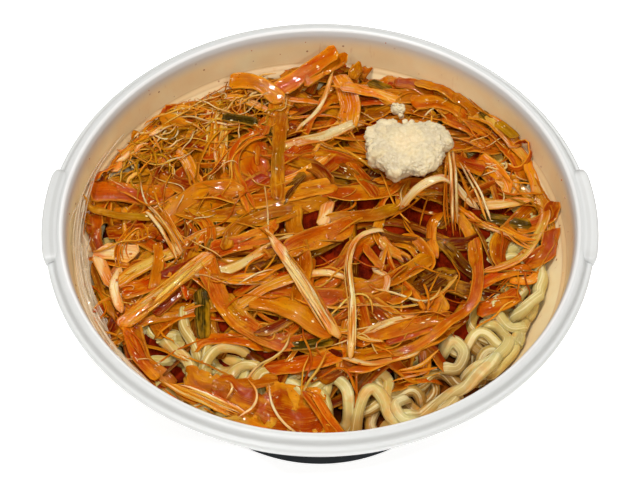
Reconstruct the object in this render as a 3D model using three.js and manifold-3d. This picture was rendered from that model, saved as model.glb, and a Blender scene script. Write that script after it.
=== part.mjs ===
// Miso ramen in a round take-away bowl: wavy noodles under a heap of shredded, dressed onion,
// with grated garlic on top. Millimetres, +Z up. The origin is the centre of the foot's underside,
// +Y points to the back of the bowl and the two grips are on the X axis.

import * as THREE from 'three';
import { mergeVertices } from 'three/addons/utils/BufferGeometryUtils.js';
import Module from 'manifold-3d';

const wasm = await Module();
wasm.setup();

// ---- Driving dimensions -------------------------------------------------------------------------

// Bowl
const BOWL_HEIGHT = 75;
const RIM_RADIUS = 94.6;
const MOUTH_RADIUS = 88;
const LIP_DROP = 2.2;
const LIP_WIDTH = 2.2;
const RIM_DEPTH = 4.2;
const WALL = 1.9;
const LEDGE_HEIGHT = 58.6;
const LEDGE_WIDTH = 1.3;
const WALL_RADIUS_AT_LEDGE = 85.2;
const FLOOR_HEIGHT = 4.2;
const FLOOR_RADIUS = 50.2;
const WALL_ROUNDNESS = 0.97;
const FOOT_RADIUS = 55.2;
const FOOT_WIDTH = 3.6;
const FOOT_RECESS = 2.3;
const GRIP_RADIUS = 95.7;
const GRIP_HALF_ANGLE = 12.4 * Math.PI / 180;
const BOWL_SECTORS = 40;
const FILLING_SECTORS = 28;

// Noodles
const NOODLE_LEVEL = 50;
const NOODLE_CROWN = 3.5;
const NOODLE_REACH = 80.9;
const NOODLE_THICKNESS = 4.4;
const NOODLE_WAVE = 2.3;
const NOODLE_WAVELENGTH = 12;
const NOODLE_LENGTH = 66;
const NOODLE_ROWS = [62.5, 69.5, 76.5];
const NOODLES_PER_ROW = 2;
const NOODLE_STEPS_PER_WAVE = 4;

// Heap of shredded onion
const HEAP_REACH = 82;
const HEAP_FRONT_DIP = 25;
const HEAP_FRONT_ANGLE = -67 * Math.PI / 180;
const HEAP_FRONT_SPREAD = 48 * Math.PI / 180;
const HEAP_EDGE_LEVEL = 55;
const HEAP_CROWN = 16.5;
const HEAP_SWELL = 2.3;
const STRIP_COUNT = 19;
const STRIP_LENGTH = [45, 80];
const STRIP_WIDTH = [5, 10];
const STRIP_THICKNESS = 2.4;

// Shreds that slid down to the front
const FRONT_PILE_CENTRE = [-16, -68];
const FRONT_PILE_HALF_SIZE = [21, 9.5];
const FRONT_PILE_HEIGHT = 3.6;

// Grated garlic
const GARLIC_CENTRE = [31, 29];
const GARLIC_HALF_SIZE = [15.6, 13.6, 5.2];
const GARLIC_SINK = 2.2;
const CRUMB_CENTRE = [27.5, 49.5];
const CRUMB_HALF_SIZE = [3.4, 2.6, 2.3];

// Space kept between pieces that rest on or in each other
const GAP = 0.3;
const CAVITY_GAP = 0.45;
const CUT_HEIGHT = 110;

// ---- Small helpers ------------------------------------------------------------------------------

const TURN = Math.PI * 2;
const UP = new THREE.Vector3(0, 0, 1);
const mix = (low, high, share) => low + (high - low) * share;
const wrap = angle => Math.atan2(Math.sin(angle), Math.cos(angle));

function seededRandom(seed) {
  let state = seed;
  return () => {
    state = (state * 1664525 + 1013904223) % 4294967296;
    return state / 4294967296;
  };
}

function toSolid(geometry) {
  geometry.deleteAttribute('normal');
  geometry.deleteAttribute('uv');
  const merged = mergeVertices(geometry, 1e-4);
  return new wasm.Manifold(new wasm.Mesh({
    numProp: 3,
    vertProperties: new Float32Array(merged.attributes.position.array),
    triVerts: new Uint32Array(merged.index.array),
  }));
}

function toGeometry(solid) {
  const mesh = solid.getMesh();
  const geometry = new THREE.BufferGeometry();
  geometry.setAttribute('position', new THREE.BufferAttribute(mesh.vertProperties, 3));
  geometry.setIndex(new THREE.BufferAttribute(mesh.triVerts, 1));
  geometry.computeVertexNormals();
  return geometry;
}

const joined = solids => solids.reduce((whole, next) => whole.add(next));

// The main body of a cut solid, without the loose offcuts and pinholes that the cut leaves.
function mainBody(solid) {
  return solid.decompose().reduce((main, next) => (next.volume() > main.volume() ? next : main));
}

// A closed slab over a plan that runs out to reach(angle), between two height functions of x and y.
function slab({ centre = [0, 0], reach, top, bottom, rings, sectors }) {
  const positions = [];
  const addLayer = height => {
    positions.push(centre[0], centre[1], height(centre[0], centre[1]));
    for (let ring = 1; ring <= rings; ring++) {
      for (let sector = 0; sector < sectors; sector++) {
        const angle = TURN * sector / sectors;
        const radius = reach(angle) * ring / rings;
        const x = centre[0] + radius * Math.cos(angle);
        const y = centre[1] + radius * Math.sin(angle);
        positions.push(x, y, height(x, y));
      }
    }
  };
  addLayer(top);
  addLayer(bottom);
  const layerSize = 1 + rings * sectors;
  const at = (layer, ring, sector) => {
    const inRing = ring === 0 ? 0 : 1 + (ring - 1) * sectors + (sector % sectors);
    return layer * layerSize + inRing;
  };
  const index = [];
  const addFace = (flip, a, b, c) => index.push(a, flip ? c : b, flip ? b : c);
  for (let layer = 0; layer < 2; layer++) {
    for (let sector = 0; sector < sectors; sector++) {
      addFace(layer, at(layer, 0, 0), at(layer, 1, sector), at(layer, 1, sector + 1));
      for (let ring = 1; ring < rings; ring++) {
        const inner = [at(layer, ring, sector), at(layer, ring, sector + 1)];
        const outer = [at(layer, ring + 1, sector), at(layer, ring + 1, sector + 1)];
        addFace(layer, inner[0], outer[0], outer[1]);
        addFace(layer, inner[0], outer[1], inner[1]);
      }
    }
  }
  for (let sector = 0; sector < sectors; sector++) {
    const upper = [at(0, rings, sector), at(0, rings, sector + 1)];
    const lower = [at(1, rings, sector), at(1, rings, sector + 1)];
    addFace(false, lower[0], lower[1], upper[1]);
    addFace(false, lower[0], upper[1], upper[0]);
  }
  const geometry = new THREE.BufferGeometry();
  geometry.setAttribute('position', new THREE.Float32BufferAttribute(positions, 3));
  geometry.setIndex(index);
  return toSolid(geometry);
}

// A closed bar that follows a route. The section is a list of [sideways, upwards] offsets, taken
// anticlockwise when looking back along the route, and taper(share) scales it on the way.
function bar(route, section, taper = () => 1) {
  const positions = [];
  const sides = section.length;
  route.forEach((point, step) => {
    const before = route[Math.max(step - 1, 0)];
    const after = route[Math.min(step + 1, route.length - 1)];
    const along = after.clone().sub(before).normalize();
    const across = new THREE.Vector3().crossVectors(along, UP).normalize();
    const above = new THREE.Vector3().crossVectors(across, along);
    const scale = taper(step / (route.length - 1));
    for (const [sideways, upwards] of section) {
      const corner = point.clone()
        .addScaledVector(across, sideways * scale)
        .addScaledVector(above, upwards * scale);
      positions.push(corner.x, corner.y, corner.z);
    }
  });
  const index = [];
  for (let step = 0; step < route.length - 1; step++) {
    for (let side = 0; side < sides; side++) {
      const a = step * sides + side;
      const b = step * sides + (side + 1) % sides;
      index.push(a, a + sides, b + sides, a, b + sides, b);
    }
  }
  const last = (route.length - 1) * sides;
  for (let side = 1; side < sides - 1; side++) {
    index.push(0, side, side + 1);
    index.push(last, last + side + 1, last + side);
  }
  const geometry = new THREE.BufferGeometry();
  geometry.setAttribute('position', new THREE.Float32BufferAttribute(positions, 3));
  geometry.setIndex(index);
  return toSolid(geometry);
}

function roundSection(width, height, sides) {
  return Array.from({ length: sides }, (_, side) => {
    const angle = TURN * (side + 0.5) / sides;
    return [width / 2 * Math.cos(angle), height / 2 * Math.sin(angle)];
  });
}

// ---- Bowl ---------------------------------------------------------------------------------------

// Inner wall below the ledge, from the edge of the floor (share 0) up to the ledge (share 1).
function wallPoint(share, offset = 0) {
  const point = part => new THREE.Vector2(
    FLOOR_RADIUS + (WALL_RADIUS_AT_LEDGE - FLOOR_RADIUS) * Math.pow(part, WALL_ROUNDNESS),
    FLOOR_HEIGHT + (LEDGE_HEIGHT - FLOOR_HEIGHT) * part,
  );
  const before = point(Math.max(share - 0.02, 0));
  const after = point(Math.min(share + 0.02, 1));
  const along = after.sub(before).normalize();
  return point(share).add(new THREE.Vector2(along.y, -along.x).multiplyScalar(offset));
}

const WALL_SHARES = [0.04, 0.16, 0.38, 0.68];

const upperWallFoot = WALL_RADIUS_AT_LEDGE + LEDGE_WIDTH;

function bowlProfile() {
  const rimUnderside = BOWL_HEIGHT - RIM_DEPTH;
  const lipTop = BOWL_HEIGHT - LIP_DROP;
  const lipStart = RIM_RADIUS - LIP_WIDTH;
  const footInner = FOOT_RADIUS - FOOT_WIDTH;
  return [
    [0, FLOOR_HEIGHT],
    [FLOOR_RADIUS - 4, FLOOR_HEIGHT],
    ...WALL_SHARES.map(share => wallPoint(share).toArray()),
    [WALL_RADIUS_AT_LEDGE, LEDGE_HEIGHT],
    [upperWallFoot, LEDGE_HEIGHT + 0.8],
    [MOUTH_RADIUS - 0.3, BOWL_HEIGHT - 2],
    [MOUTH_RADIUS + 0.4, BOWL_HEIGHT - 0.5],
    [MOUTH_RADIUS + 1.5, BOWL_HEIGHT],
    [lipStart - 1.6, BOWL_HEIGHT],
    [lipStart - 0.8, BOWL_HEIGHT - 0.4],
    [lipStart, lipTop],
    [RIM_RADIUS - 0.6, lipTop],
    [RIM_RADIUS, lipTop - 0.6],
    [RIM_RADIUS, rimUnderside],
    [MOUTH_RADIUS + WALL, rimUnderside],
    [upperWallFoot + WALL, LEDGE_HEIGHT + 0.4],
    ...[...WALL_SHARES].reverse().map(share => wallPoint(share, WALL).toArray()),
    [FOOT_RADIUS, 0.5],
    [FOOT_RADIUS - 0.5, 0],
    [footInner + 0.5, 0],
    [footInner, 0.5],
    [footInner, FOOT_RECESS],
    [0, FOOT_RECESS],
  ].map(([radius, height]) => new THREE.Vector2(radius, height)).reverse();
}

// Flat grip that carries the bead's height out to the edge of the rim, on the side of the given angle.
function rimGrip(facing) {
  const shape = new THREE.Shape();
  const innerRadius = MOUTH_RADIUS + 2.4;
  const bevel = 0.5;
  const spread = GRIP_HALF_ANGLE;
  shape.absarc(0, 0, GRIP_RADIUS - bevel, facing - spread, facing + spread, false);
  shape.absarc(0, 0, innerRadius, facing + spread, facing - spread, true);
  const grip = new THREE.ExtrudeGeometry(shape, {
    depth: RIM_DEPTH - 2 * bevel,
    bevelSize: bevel,
    bevelThickness: bevel,
    bevelSegments: 1,
    curveSegments: 6,
  });
  grip.translate(0, 0, BOWL_HEIGHT - RIM_DEPTH + bevel);
  return toSolid(grip);
}

function bowlSolid() {
  const turned = toSolid(new THREE.LatheGeometry(bowlProfile(), BOWL_SECTORS).rotateX(Math.PI / 2));
  return joined([turned, rimGrip(0), rimGrip(Math.PI)]);
}

// Everything inside the bowl's wall, with the gap that the contents keep to it.
function cavitySolid() {
  const profile = [
    [0, FLOOR_HEIGHT + GAP],
    [FLOOR_RADIUS - 5, FLOOR_HEIGHT + GAP],
    ...WALL_SHARES.map(share => wallPoint(share, -CAVITY_GAP).toArray()),
    [WALL_RADIUS_AT_LEDGE - CAVITY_GAP, LEDGE_HEIGHT + 0.3],
    [upperWallFoot - CAVITY_GAP, LEDGE_HEIGHT + 1.4],
    [MOUTH_RADIUS - CAVITY_GAP - 0.3, BOWL_HEIGHT - 2],
    [MOUTH_RADIUS - CAVITY_GAP, CUT_HEIGHT],
    [0, CUT_HEIGHT],
  ].map(([radius, height]) => new THREE.Vector2(radius, height));
  return toSolid(new THREE.LatheGeometry(profile, BOWL_SECTORS).rotateX(Math.PI / 2));
}

// ---- Heights and outlines that the contents share -----------------------------------------------

function noodleHeight(x, y) {
  const share = Math.hypot(x, y) / NOODLE_REACH;
  const ripple = 0.7 * Math.sin(x / 7.5 + 0.8) * Math.cos(y / 6.5);
  return NOODLE_LEVEL + NOODLE_CROWN * (1 - share * share) + ripple;
}

function heapReach(angle) {
  const turned = wrap(angle - HEAP_FRONT_ANGLE) / HEAP_FRONT_SPREAD;
  const ragged = 1.3 * Math.sin(5 * angle + 0.6) + 0.9 * Math.sin(9 * angle);
  return HEAP_REACH - HEAP_FRONT_DIP * Math.exp(-turned * turned) + ragged;
}

function heapHeight(x, y) {
  const share = Math.hypot(x, y) / heapReach(Math.atan2(y, x));
  const lumps = 1.3 * Math.sin(x / 10 + 1.1) * Math.cos(y / 9 - 0.4) + 0.8 * Math.sin((x + y) / 6);
  return HEAP_EDGE_LEVEL + HEAP_CROWN * (1 - Math.pow(share, HEAP_SWELL)) + lumps * 0.8;
}

// The surface on which the heap rests: on the noodles, and rising clear of them past its edge.
function restHeight(x, y) {
  const beyond = Math.hypot(x, y) - heapReach(Math.atan2(y, x));
  return noodleHeight(x, y) - 0.5 + Math.max(beyond, 0);
}

function aboveRest(clearance) {
  return slab({
    reach: angle => Math.min(heapReach(angle) + 9, MOUTH_RADIUS - 0.6),
    top: () => CUT_HEIGHT,
    bottom: (x, y) => restHeight(x, y) - clearance,
    rings: 5,
    sectors: FILLING_SECTORS,
  });
}

// ---- Noodles ------------------------------------------------------------------------------------

function noodleRoute(start, heading, turn, random) {
  const steps = Math.round(NOODLE_LENGTH / NOODLE_WAVELENGTH * NOODLE_STEPS_PER_WAVE);
  const phase = random() * TURN;
  const rise = mix(0.4, 2.2, random());
  const spot = start.clone();
  const route = [];
  for (let step = 0; step <= steps; step++) {
    const share = step / steps;
    const direction = heading + turn * share;
    const swing = NOODLE_WAVE * Math.sin(phase + TURN * share * NOODLE_LENGTH / NOODLE_WAVELENGTH);
    const x = spot.x - swing * Math.sin(direction);
    const y = spot.y + swing * Math.cos(direction);
    route.push(new THREE.Vector3(x, y, noodleHeight(x, y) + rise));
    spot.x += NOODLE_LENGTH / steps * Math.cos(direction);
    spot.y += NOODLE_LENGTH / steps * Math.sin(direction);
  }
  return route;
}

// Noodles that show at the front and the right, where the heap leaves them bare.
function bareNoodles() {
  const random = seededRandom(41);
  const section = roundSection(NOODLE_THICKNESS, NOODLE_THICKNESS * 0.85, 5);
  return NOODLE_ROWS.flatMap((radius, row) => Array.from({ length: NOODLES_PER_ROW }, (_, count) => {
    const around = mix(-140, -25, (count + 0.2 * row) / NOODLES_PER_ROW) * Math.PI / 180;
    const start = new THREE.Vector2(radius * Math.cos(around), radius * Math.sin(around));
    const heading = around + Math.PI / 2 + mix(-0.15, 0.15, random());
    return bar(noodleRoute(start, heading, NOODLE_LENGTH / radius, random), section);
  }));
}

function noodleSolid(cavity) {
  const body = slab({
    reach: () => MOUTH_RADIUS,
    top: noodleHeight,
    bottom: () => 0,
    rings: 6,
    sectors: FILLING_SECTORS,
  });
  return joined([body, ...bareNoodles()]).intersect(cavity);
}

// ---- Onion --------------------------------------------------------------------------------------

// A flat strip that lies over the heap from one end to the other and bows to one side.
function stripRoute({ middle, heading, length, bow, lift, arch }) {
  const steps = 6;
  return Array.from({ length: steps + 1 }, (_, step) => {
    const share = step / steps;
    const hump = 4 * share * (1 - share);
    const along = (share - 0.5) * length;
    const x = middle.x + along * Math.cos(heading) - bow * hump * Math.sin(heading);
    const y = middle.y + along * Math.sin(heading) + bow * hump * Math.cos(heading);
    return new THREE.Vector3(x, y, heapHeight(x, y) + lift + arch * hump);
  });
}

const pointedEnds = share => Math.min(1, 0.45 + 3 * Math.min(share, 1 - share));

function heapStrips() {
  const random = seededRandom(7);
  const goldenAngle = Math.PI * (3 - Math.sqrt(5));
  return Array.from({ length: STRIP_COUNT }, (_, count) => {
    const around = count * goldenAngle;
    const radius = heapReach(around) * 0.8 * Math.sqrt((count + 0.5) / STRIP_COUNT);
    const route = stripRoute({
      middle: new THREE.Vector2(radius * Math.cos(around), radius * Math.sin(around)),
      heading: random() * Math.PI,
      length: mix(...STRIP_LENGTH, random()) * (1 - 0.35 * radius / HEAP_REACH),
      bow: mix(-9, 9, random()),
      lift: mix(-0.4, 1, random()),
      arch: mix(1, 4.5, random()),
    });
    const section = roundSection(mix(...STRIP_WIDTH, random()), STRIP_THICKNESS, 4);
    return bar(route, section, pointedEnds);
  });
}

function heapSolid(cavity) {
  const body = slab({
    reach: heapReach,
    top: heapHeight,
    bottom: (x, y) => noodleHeight(x, y) - 3,
    rings: 6,
    sectors: FILLING_SECTORS,
  });
  return joined([body, ...heapStrips()]).intersect(aboveRest(0)).intersect(cavity);
}

// A few flat shreds in a thin pile on the bare noodles at the front.
function frontPileSolid() {
  const [halfLength, halfWidth] = FRONT_PILE_HALF_SIZE;
  const rise = (x, y) => {
    const share = Math.hypot((x - FRONT_PILE_CENTRE[0]) / halfLength, (y - FRONT_PILE_CENTRE[1]) / halfWidth);
    return Math.max(0.9, FRONT_PILE_HEIGHT * (1 - 0.7 * share * share));
  };
  return slab({
    centre: FRONT_PILE_CENTRE,
    reach: angle => {
      const oval = 1 / Math.hypot(Math.cos(angle) / halfLength, Math.sin(angle) / halfWidth);
      return oval * (1 + 0.07 * Math.sin(4 * angle + 1) + 0.05 * Math.sin(7 * angle));
    },
    top: (x, y) => noodleHeight(x, y) + 1.1 + rise(x, y),
    bottom: (x, y) => noodleHeight(x, y) + 1.1,
    rings: 3,
    sectors: 24,
  });
}

function frontPileSeat() {
  const [halfLength, halfWidth] = FRONT_PILE_HALF_SIZE;
  return slab({
    centre: FRONT_PILE_CENTRE,
    reach: angle => 1.12 / Math.hypot(Math.cos(angle) / halfLength, Math.sin(angle) / halfWidth) + GAP * 2,
    top: () => CUT_HEIGHT,
    bottom: (x, y) => noodleHeight(x, y) + 1.1 - GAP,
    rings: 3,
    sectors: 24,
  });
}

// ---- Garlic -------------------------------------------------------------------------------------

// A lump of grated garlic, grown by a margin where it is used to press its own seat.
function garlicLump([centreX, centreY], [halfX, halfY, halfZ], sink, detail, margin) {
  const lump = new THREE.IcosahedronGeometry(1, detail);
  const places = lump.attributes.position;
  const middle = heapHeight(centreX, centreY) + 1.2 + halfZ - sink;
  for (let spot = 0; spot < places.count; spot++) {
    const x = places.getX(spot);
    const y = places.getY(spot);
    const z = places.getZ(spot);
    const grain = 1 + 0.07 * Math.sin(7 * x + 2) * Math.sin(6 * y + 1) + 0.06 * Math.sin(9 * (x - y) + 5 * z);
    const flattened = Math.sign(z) * Math.pow(Math.abs(z), 0.75);
    places.setXYZ(
      spot,
      centreX + x * (halfX * grain + margin),
      centreY + y * (halfY * grain + margin),
      middle + flattened * (halfZ * grain + margin),
    );
  }
  return toSolid(lump);
}

const garlicMargins = { piece: 0, seat: GAP + 0.1 };
const garlicMain = margin => garlicLump(GARLIC_CENTRE, GARLIC_HALF_SIZE, GARLIC_SINK, 3, margin);
const garlicCrumb = margin => garlicLump(CRUMB_CENTRE, CRUMB_HALF_SIZE, 0.8, 1, margin);

// ---- The whole bowl of ramen --------------------------------------------------------------------

const cavity = cavitySolid();
const heap = mainBody(heapSolid(cavity)
  .subtract(garlicMain(garlicMargins.seat))
  .subtract(garlicCrumb(garlicMargins.seat)));
const noodles = mainBody(noodleSolid(cavity)
  .subtract(aboveRest(CAVITY_GAP))
  .subtract(frontPileSeat()));
const frontPile = mainBody(frontPileSolid()
  .intersect(cavity)
  .subtract(aboveRest(CAVITY_GAP)));

const finishes = {
  bowl: { color: 0xf2f1ee, roughness: 0.4, metalness: 0 },
  noodles: { color: 0xd9c48c, roughness: 0.45, metalness: 0 },
  onion: { color: 0xd2700f, roughness: 0.35, metalness: 0 },
  garlic: { color: 0xe9d9b0, roughness: 0.7, metalness: 0 },
};

function namedMesh(name, solid, finish) {
  const mesh = new THREE.Mesh(toGeometry(solid), new THREE.MeshStandardMaterial(finishes[finish]));
  mesh.name = name;
  return mesh;
}

const misoRamen = new THREE.Group();
misoRamen.add(
  namedMesh('bowl', bowlSolid(), 'bowl'),
  namedMesh('noodles', noodles, 'noodles'),
  namedMesh('onion_heap', heap, 'onion'),
  namedMesh('onion_front', frontPile, 'onion'),
  namedMesh('garlic', garlicMain(garlicMargins.piece), 'garlic'),
  namedMesh('garlic_crumb', garlicCrumb(garlicMargins.piece), 'garlic'),
);

export default misoRamen;
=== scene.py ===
import math

import bmesh
import bpy
import numpy as np
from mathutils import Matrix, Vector, noise


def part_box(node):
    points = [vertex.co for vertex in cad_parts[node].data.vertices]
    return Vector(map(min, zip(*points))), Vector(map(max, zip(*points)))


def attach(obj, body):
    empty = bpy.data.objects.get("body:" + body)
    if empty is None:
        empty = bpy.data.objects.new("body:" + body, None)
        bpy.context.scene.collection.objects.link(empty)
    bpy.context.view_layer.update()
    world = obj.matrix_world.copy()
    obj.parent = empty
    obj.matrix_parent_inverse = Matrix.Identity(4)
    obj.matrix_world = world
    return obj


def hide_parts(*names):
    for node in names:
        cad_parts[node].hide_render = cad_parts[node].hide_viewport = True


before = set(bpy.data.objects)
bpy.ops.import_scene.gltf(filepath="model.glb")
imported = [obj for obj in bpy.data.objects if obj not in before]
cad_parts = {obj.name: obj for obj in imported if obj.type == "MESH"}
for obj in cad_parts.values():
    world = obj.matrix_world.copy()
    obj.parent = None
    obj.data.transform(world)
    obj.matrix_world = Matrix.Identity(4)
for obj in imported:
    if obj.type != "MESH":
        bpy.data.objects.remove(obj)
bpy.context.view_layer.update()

# A white take-away bowl of wavy noodles under a heap of dressed, shredded onion with grated garlic.
# Everything is worked out in millimetres, on the model's own axes, and turned into metres last.

MM = 0.001
SEED = 4127
rng = np.random.default_rng(SEED)

# ---- Driving sizes ------------------------------------------------------------------------------

# The bowl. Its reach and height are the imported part's own.
RIM_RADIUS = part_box("bowl")[1].y / MM
BOWL_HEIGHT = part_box("bowl")[1].z / MM
GRIP_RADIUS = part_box("bowl")[1].x / MM
GRIP_HALF_ANGLE = 12.4
GRIP_ROOT_RADIUS = 89.3
LIP_LEVEL = BOWL_HEIGHT - 2.2
LIP_WIDTH = 2.2
RIM_SHOULDER = 74.5
SKIRT_LEVEL = 70.8
SKIRT_ROOT_RADIUS = 89.9
LEDGE_LEVEL = 58.6
LEDGE_RADIUS = 85.2
WALL = 1.9
SKIN = 0.4
FLOOR_LEVEL = 4.2
FLOOR_RADIUS = 50.2
WALL_ROUNDNESS = 0.97
WALL_SHARES = np.array([0.02, 0.05, 0.1, 0.17, 0.26, 0.37, 0.5, 0.65, 0.82, 1.0])
COAT_END = 0.84
FOOT_RADIUS = 55.2
FOOT_WIDTH = 3.6
FOOT_RECESS = 2.3
BOWL_SECTORS = 240
# The upper wall, from the ledge to the rim: its foot, and how far it leans out for each mm up.
UPPER_RADIUS = 86.5
UPPER_LEVEL = 59.4
UPPER_LEAN = 0.09
# How far every loose thing keeps off the inner wall.
WALL_CLEARANCE = 0.3

# The noodles: the level they are laid to, and how the loose ones lie on their bed.
NOODLE_LEVEL = 50.0
NOODLE_CROWN = 3.5
NOODLE_REACH = 80.9
NOODLE_THICKNESS = 4.2
NOODLE_LOOSE = 7.5
NOODLE_DIVE = 4.5
NOODLE_LIMIT = 81.5
NOODLE_STEP = 1.0
NOODLE_BED_REACH = 74.6

# The onion heap: its outline and crown, and how the loose shreds lie on its core.
HEAP_REACH = 82.0
HEAP_EDGE = 55.0
HEAP_CROWN = 16.5
HEAP_SWELL = 2.3
HEAP_LOOSE = 9.5
EDGE_LOOSE = 5.0
HEAP_GIVE = 5.0
FRONT_DIP = 25.0
FRONT_ANGLE = math.radians(-67)
FRONT_SPREAD = math.radians(48)
HEAP_CORE_REACH = 78.0
SHRED_LIMIT = 84.5
SHRED_STEP = 1.3
FRONT_FILM_STEP = 0.9
FRONT_FILM_THICKNESS = 0.35

# The grated garlic: how the lump widens for each mm to the back, how finely it is divided, and
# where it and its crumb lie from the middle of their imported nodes.
GARLIC_FLARE = 0.022
GARLIC_DETAIL = 6
GARLIC_SHIFT = (0.4, 3.6, 0.5)
CRUMB_SHIFT = (1.2, 5.8, 0.9)


def srgb(red, green, blue):
    """A colour as seen, 0 to 255 a channel, as the linear values that a shader takes."""
    seen = np.array([red, green, blue]) / 255
    return np.where(seen < 0.04045, seen / 12.92, ((seen + 0.055) / 1.055) ** 2.4)


def eased(value, start, end):
    """0 before start, 1 after end, and a smooth turn between them."""
    t = np.clip((np.asarray(value, float) - start) / (end - start), 0, 1)
    return t * t * (3 - 2 * t)


def run_along(line):
    """How far along a line each of its points lies."""
    return np.concatenate([[0], np.cumsum(np.linalg.norm(np.diff(line, axis=0), axis=1))])


def towards(turn):
    """The level directions of some turns, as rows of (x, y)."""
    return np.stack([np.cos(turn), np.sin(turn)], -1)


def place_at(radius, angle):
    """The place (x, y) at a radius and an angle."""
    return radius * math.cos(angle), radius * math.sin(angle)


def around(radius, angle, level):
    """The points (x, y, z) at some radii, angles and levels."""
    made = np.broadcast_arrays(radius * np.cos(angle), radius * np.sin(angle), level)
    return np.stack(made, -1)


def placed(name, data):
    """A new object that shows the data."""
    thing = bpy.data.objects.new(name, data)
    bpy.context.collection.objects.link(thing)
    return thing


def aimed(thing, spot, target):
    """Puts a lamp or the camera at a spot and turns it to its target."""
    thing.location = spot
    thing.rotation_euler = (Vector(target) - Vector(spot)).to_track_quat("-Z", "Y").to_euler()


# ---- Finishes: shader maths as expressions ------------------------------------------------------


class Level:
    """One value in a finish. Sums and products of levels add their Math nodes."""

    def __init__(self, finish, socket):
        self.finish = finish
        self.socket = socket

    def __add__(self, other):
        return self.finish.maths("ADD", self, other)

    def __sub__(self, other):
        return self.finish.maths("SUBTRACT", self, other)

    def __rsub__(self, other):
        return self.finish.maths("SUBTRACT", other, self)

    def __mul__(self, other):
        return self.finish.maths("MULTIPLY", self, other)

    def __pow__(self, other):
        return self.finish.maths("POWER", self, other)

    __radd__ = __add__
    __rmul__ = __mul__

    def between(self, start, end):
        """0 at start and 1 at end, held at both."""
        settings = {"interpolation_type": "SMOOTHSTEP", "clamp": True}
        values = {"Value": self, "From Min": start, "From Max": end}
        return self.finish.take(self.finish.node("ShaderNodeMapRange", settings, values), "Result")


class Finish:
    """A procedural material under one principled shader."""

    def __init__(self, name):
        self.material = bpy.data.materials.new(name)
        self.material.use_nodes = True
        self.tree = self.material.node_tree
        self.tree.nodes.clear()
        self.skin = self.node("ShaderNodeBsdfPrincipled")
        self.out = self.node("ShaderNodeOutputMaterial")
        self.tree.links.new(self.skin.outputs["BSDF"], self.out.inputs["Surface"])

    def node(self, kind, settings=None, values=None):
        """Adds a node: its settings first, then the values or links of its sockets."""
        made = self.tree.nodes.new(kind)
        for key, value in (settings or {}).items():
            setattr(made, key, value)
        for key, value in (values or {}).items():
            socket = made.inputs[key]
            if isinstance(value, Level):
                self.tree.links.new(value.socket, socket)
            else:
                socket.default_value = value
        return made

    def take(self, made, output):
        """One output of a node."""
        return Level(self, made.outputs[output])

    def maths(self, operation, *terms):
        """A Math node; its terms are numbers or levels."""
        values = dict(enumerate(terms))
        return self.take(self.node("ShaderNodeMath", {"operation": operation}, values), 0)

    def mixed(self, amount, first, second, how="MIX"):
        """Two colours mixed; amount, first and second are values or levels."""
        first, second = (
            c if isinstance(c, Level) else (*[float(v) for v in c], 1.0) for c in (first, second)
        )
        settings = {"data_type": "RGBA", "blend_type": how, "clamp_factor": True}
        made = self.node("ShaderNodeMix", settings, {0: amount, 6: first, 7: second})
        return self.take(made, 2)

    def coated(self, body, *coats):
        """Colours laid over a body, one after the other; each coat is (how much, its colour)."""
        for amount, colour in coats:
            body = self.mixed(amount, body, colour)
        return body

    def paled(self, dye):
        """A dye half way to pale orange."""
        return self.mixed(0.5, dye, srgb(228, 156, 10))

    def place(self):
        """Where a point is, in mm."""
        spot = self.take(self.node("ShaderNodeTexCoord"), "Object")
        return self.scaled(spot, 1 / MM)

    def scaled(self, vector, *amounts):
        """A vector times one amount, or times one for each axis."""
        size = amounts if len(amounts) == 3 else amounts * 3
        made = self.node("ShaderNodeVectorMath", {"operation": "MULTIPLY"}, {0: vector, 1: size})
        return self.take(made, 0)

    def axes(self, vector):
        """The three parts of a vector."""
        made = self.node("ShaderNodeSeparateXYZ", None, {0: vector})
        return [self.take(made, axis) for axis in "XYZ"]

    def grain(self):
        """The run of a strand's fibres: mm round it, mm along it."""
        return self.take(self.node("ShaderNodeUVMap", {"uv_map": "fibre"}), "UV")

    def speckle(self, vector, scale, detail, roughness, distortion=0.0):
        """Soft noise from 0 to 1; scale is its lumps for each mm."""
        values = {"Vector": vector, "Scale": scale, "Detail": detail, "Roughness": roughness}
        values["Distortion"] = distortion
        return self.take(self.node("ShaderNodeTexNoise", None, values), "Fac")

    def fibres(self, grain, across, along, detail, roughness):
        """Noise drawn out along the grain: its lumps for each mm across it and along it."""
        return self.speckle(self.scaled(grain, across, along, 1.0), 1.0, detail, roughness)

    def cells(self, vector, scale):
        """How far the nearest of some strewn points is."""
        made = self.node("ShaderNodeTexVoronoi", None, {"Vector": vector, "Scale": scale})
        return self.take(made, "Distance")

    def dye(self):
        """The colour that each strand was given."""
        made = self.node("ShaderNodeAttribute", {"attribute_name": "dye"})
        return self.take(made, "Color")

    def wear(self, height, strength, distance):
        """Turns a height into a bump on the surface; distance is in mm."""
        values = {"Height": height, "Strength": strength, "Distance": distance * MM}
        self.set(Normal=self.take(self.node("ShaderNodeBump", None, values), "Normal"))

    def beaded(self, amount, body, height):
        """Small wet beads of dressing over the skin, as many as amount says."""
        values = {"Height": height, "Strength": 1.0, "Distance": 0.35 * MM}
        bump = self.take(self.node("ShaderNodeBump", None, values), "Normal")
        values = {"Base Color": body, "Roughness": 0.04, "Specular IOR Level": 0.7, "Normal": bump}
        film = self.take(self.node("ShaderNodeBsdfPrincipled", None, values), "BSDF")
        values = {0: amount, 1: self.take(self.skin, "BSDF"), 2: film}
        both = self.node("ShaderNodeMixShader", None, values)
        self.tree.links.new(both.outputs[0], self.out.inputs["Surface"])

    def set(self, **sockets):
        """Sets or links sockets of the main shader, named with _ for a space."""
        for name, value in sockets.items():
            socket = self.skin.inputs[name.replace("_", " ")]
            if isinstance(value, Level):
                self.tree.links.new(value.socket, socket)
            elif not isinstance(socket.default_value, float) and len(socket.default_value) == 4:
                socket.default_value = (*value, 1.0)
            else:
                socket.default_value = value


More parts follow.
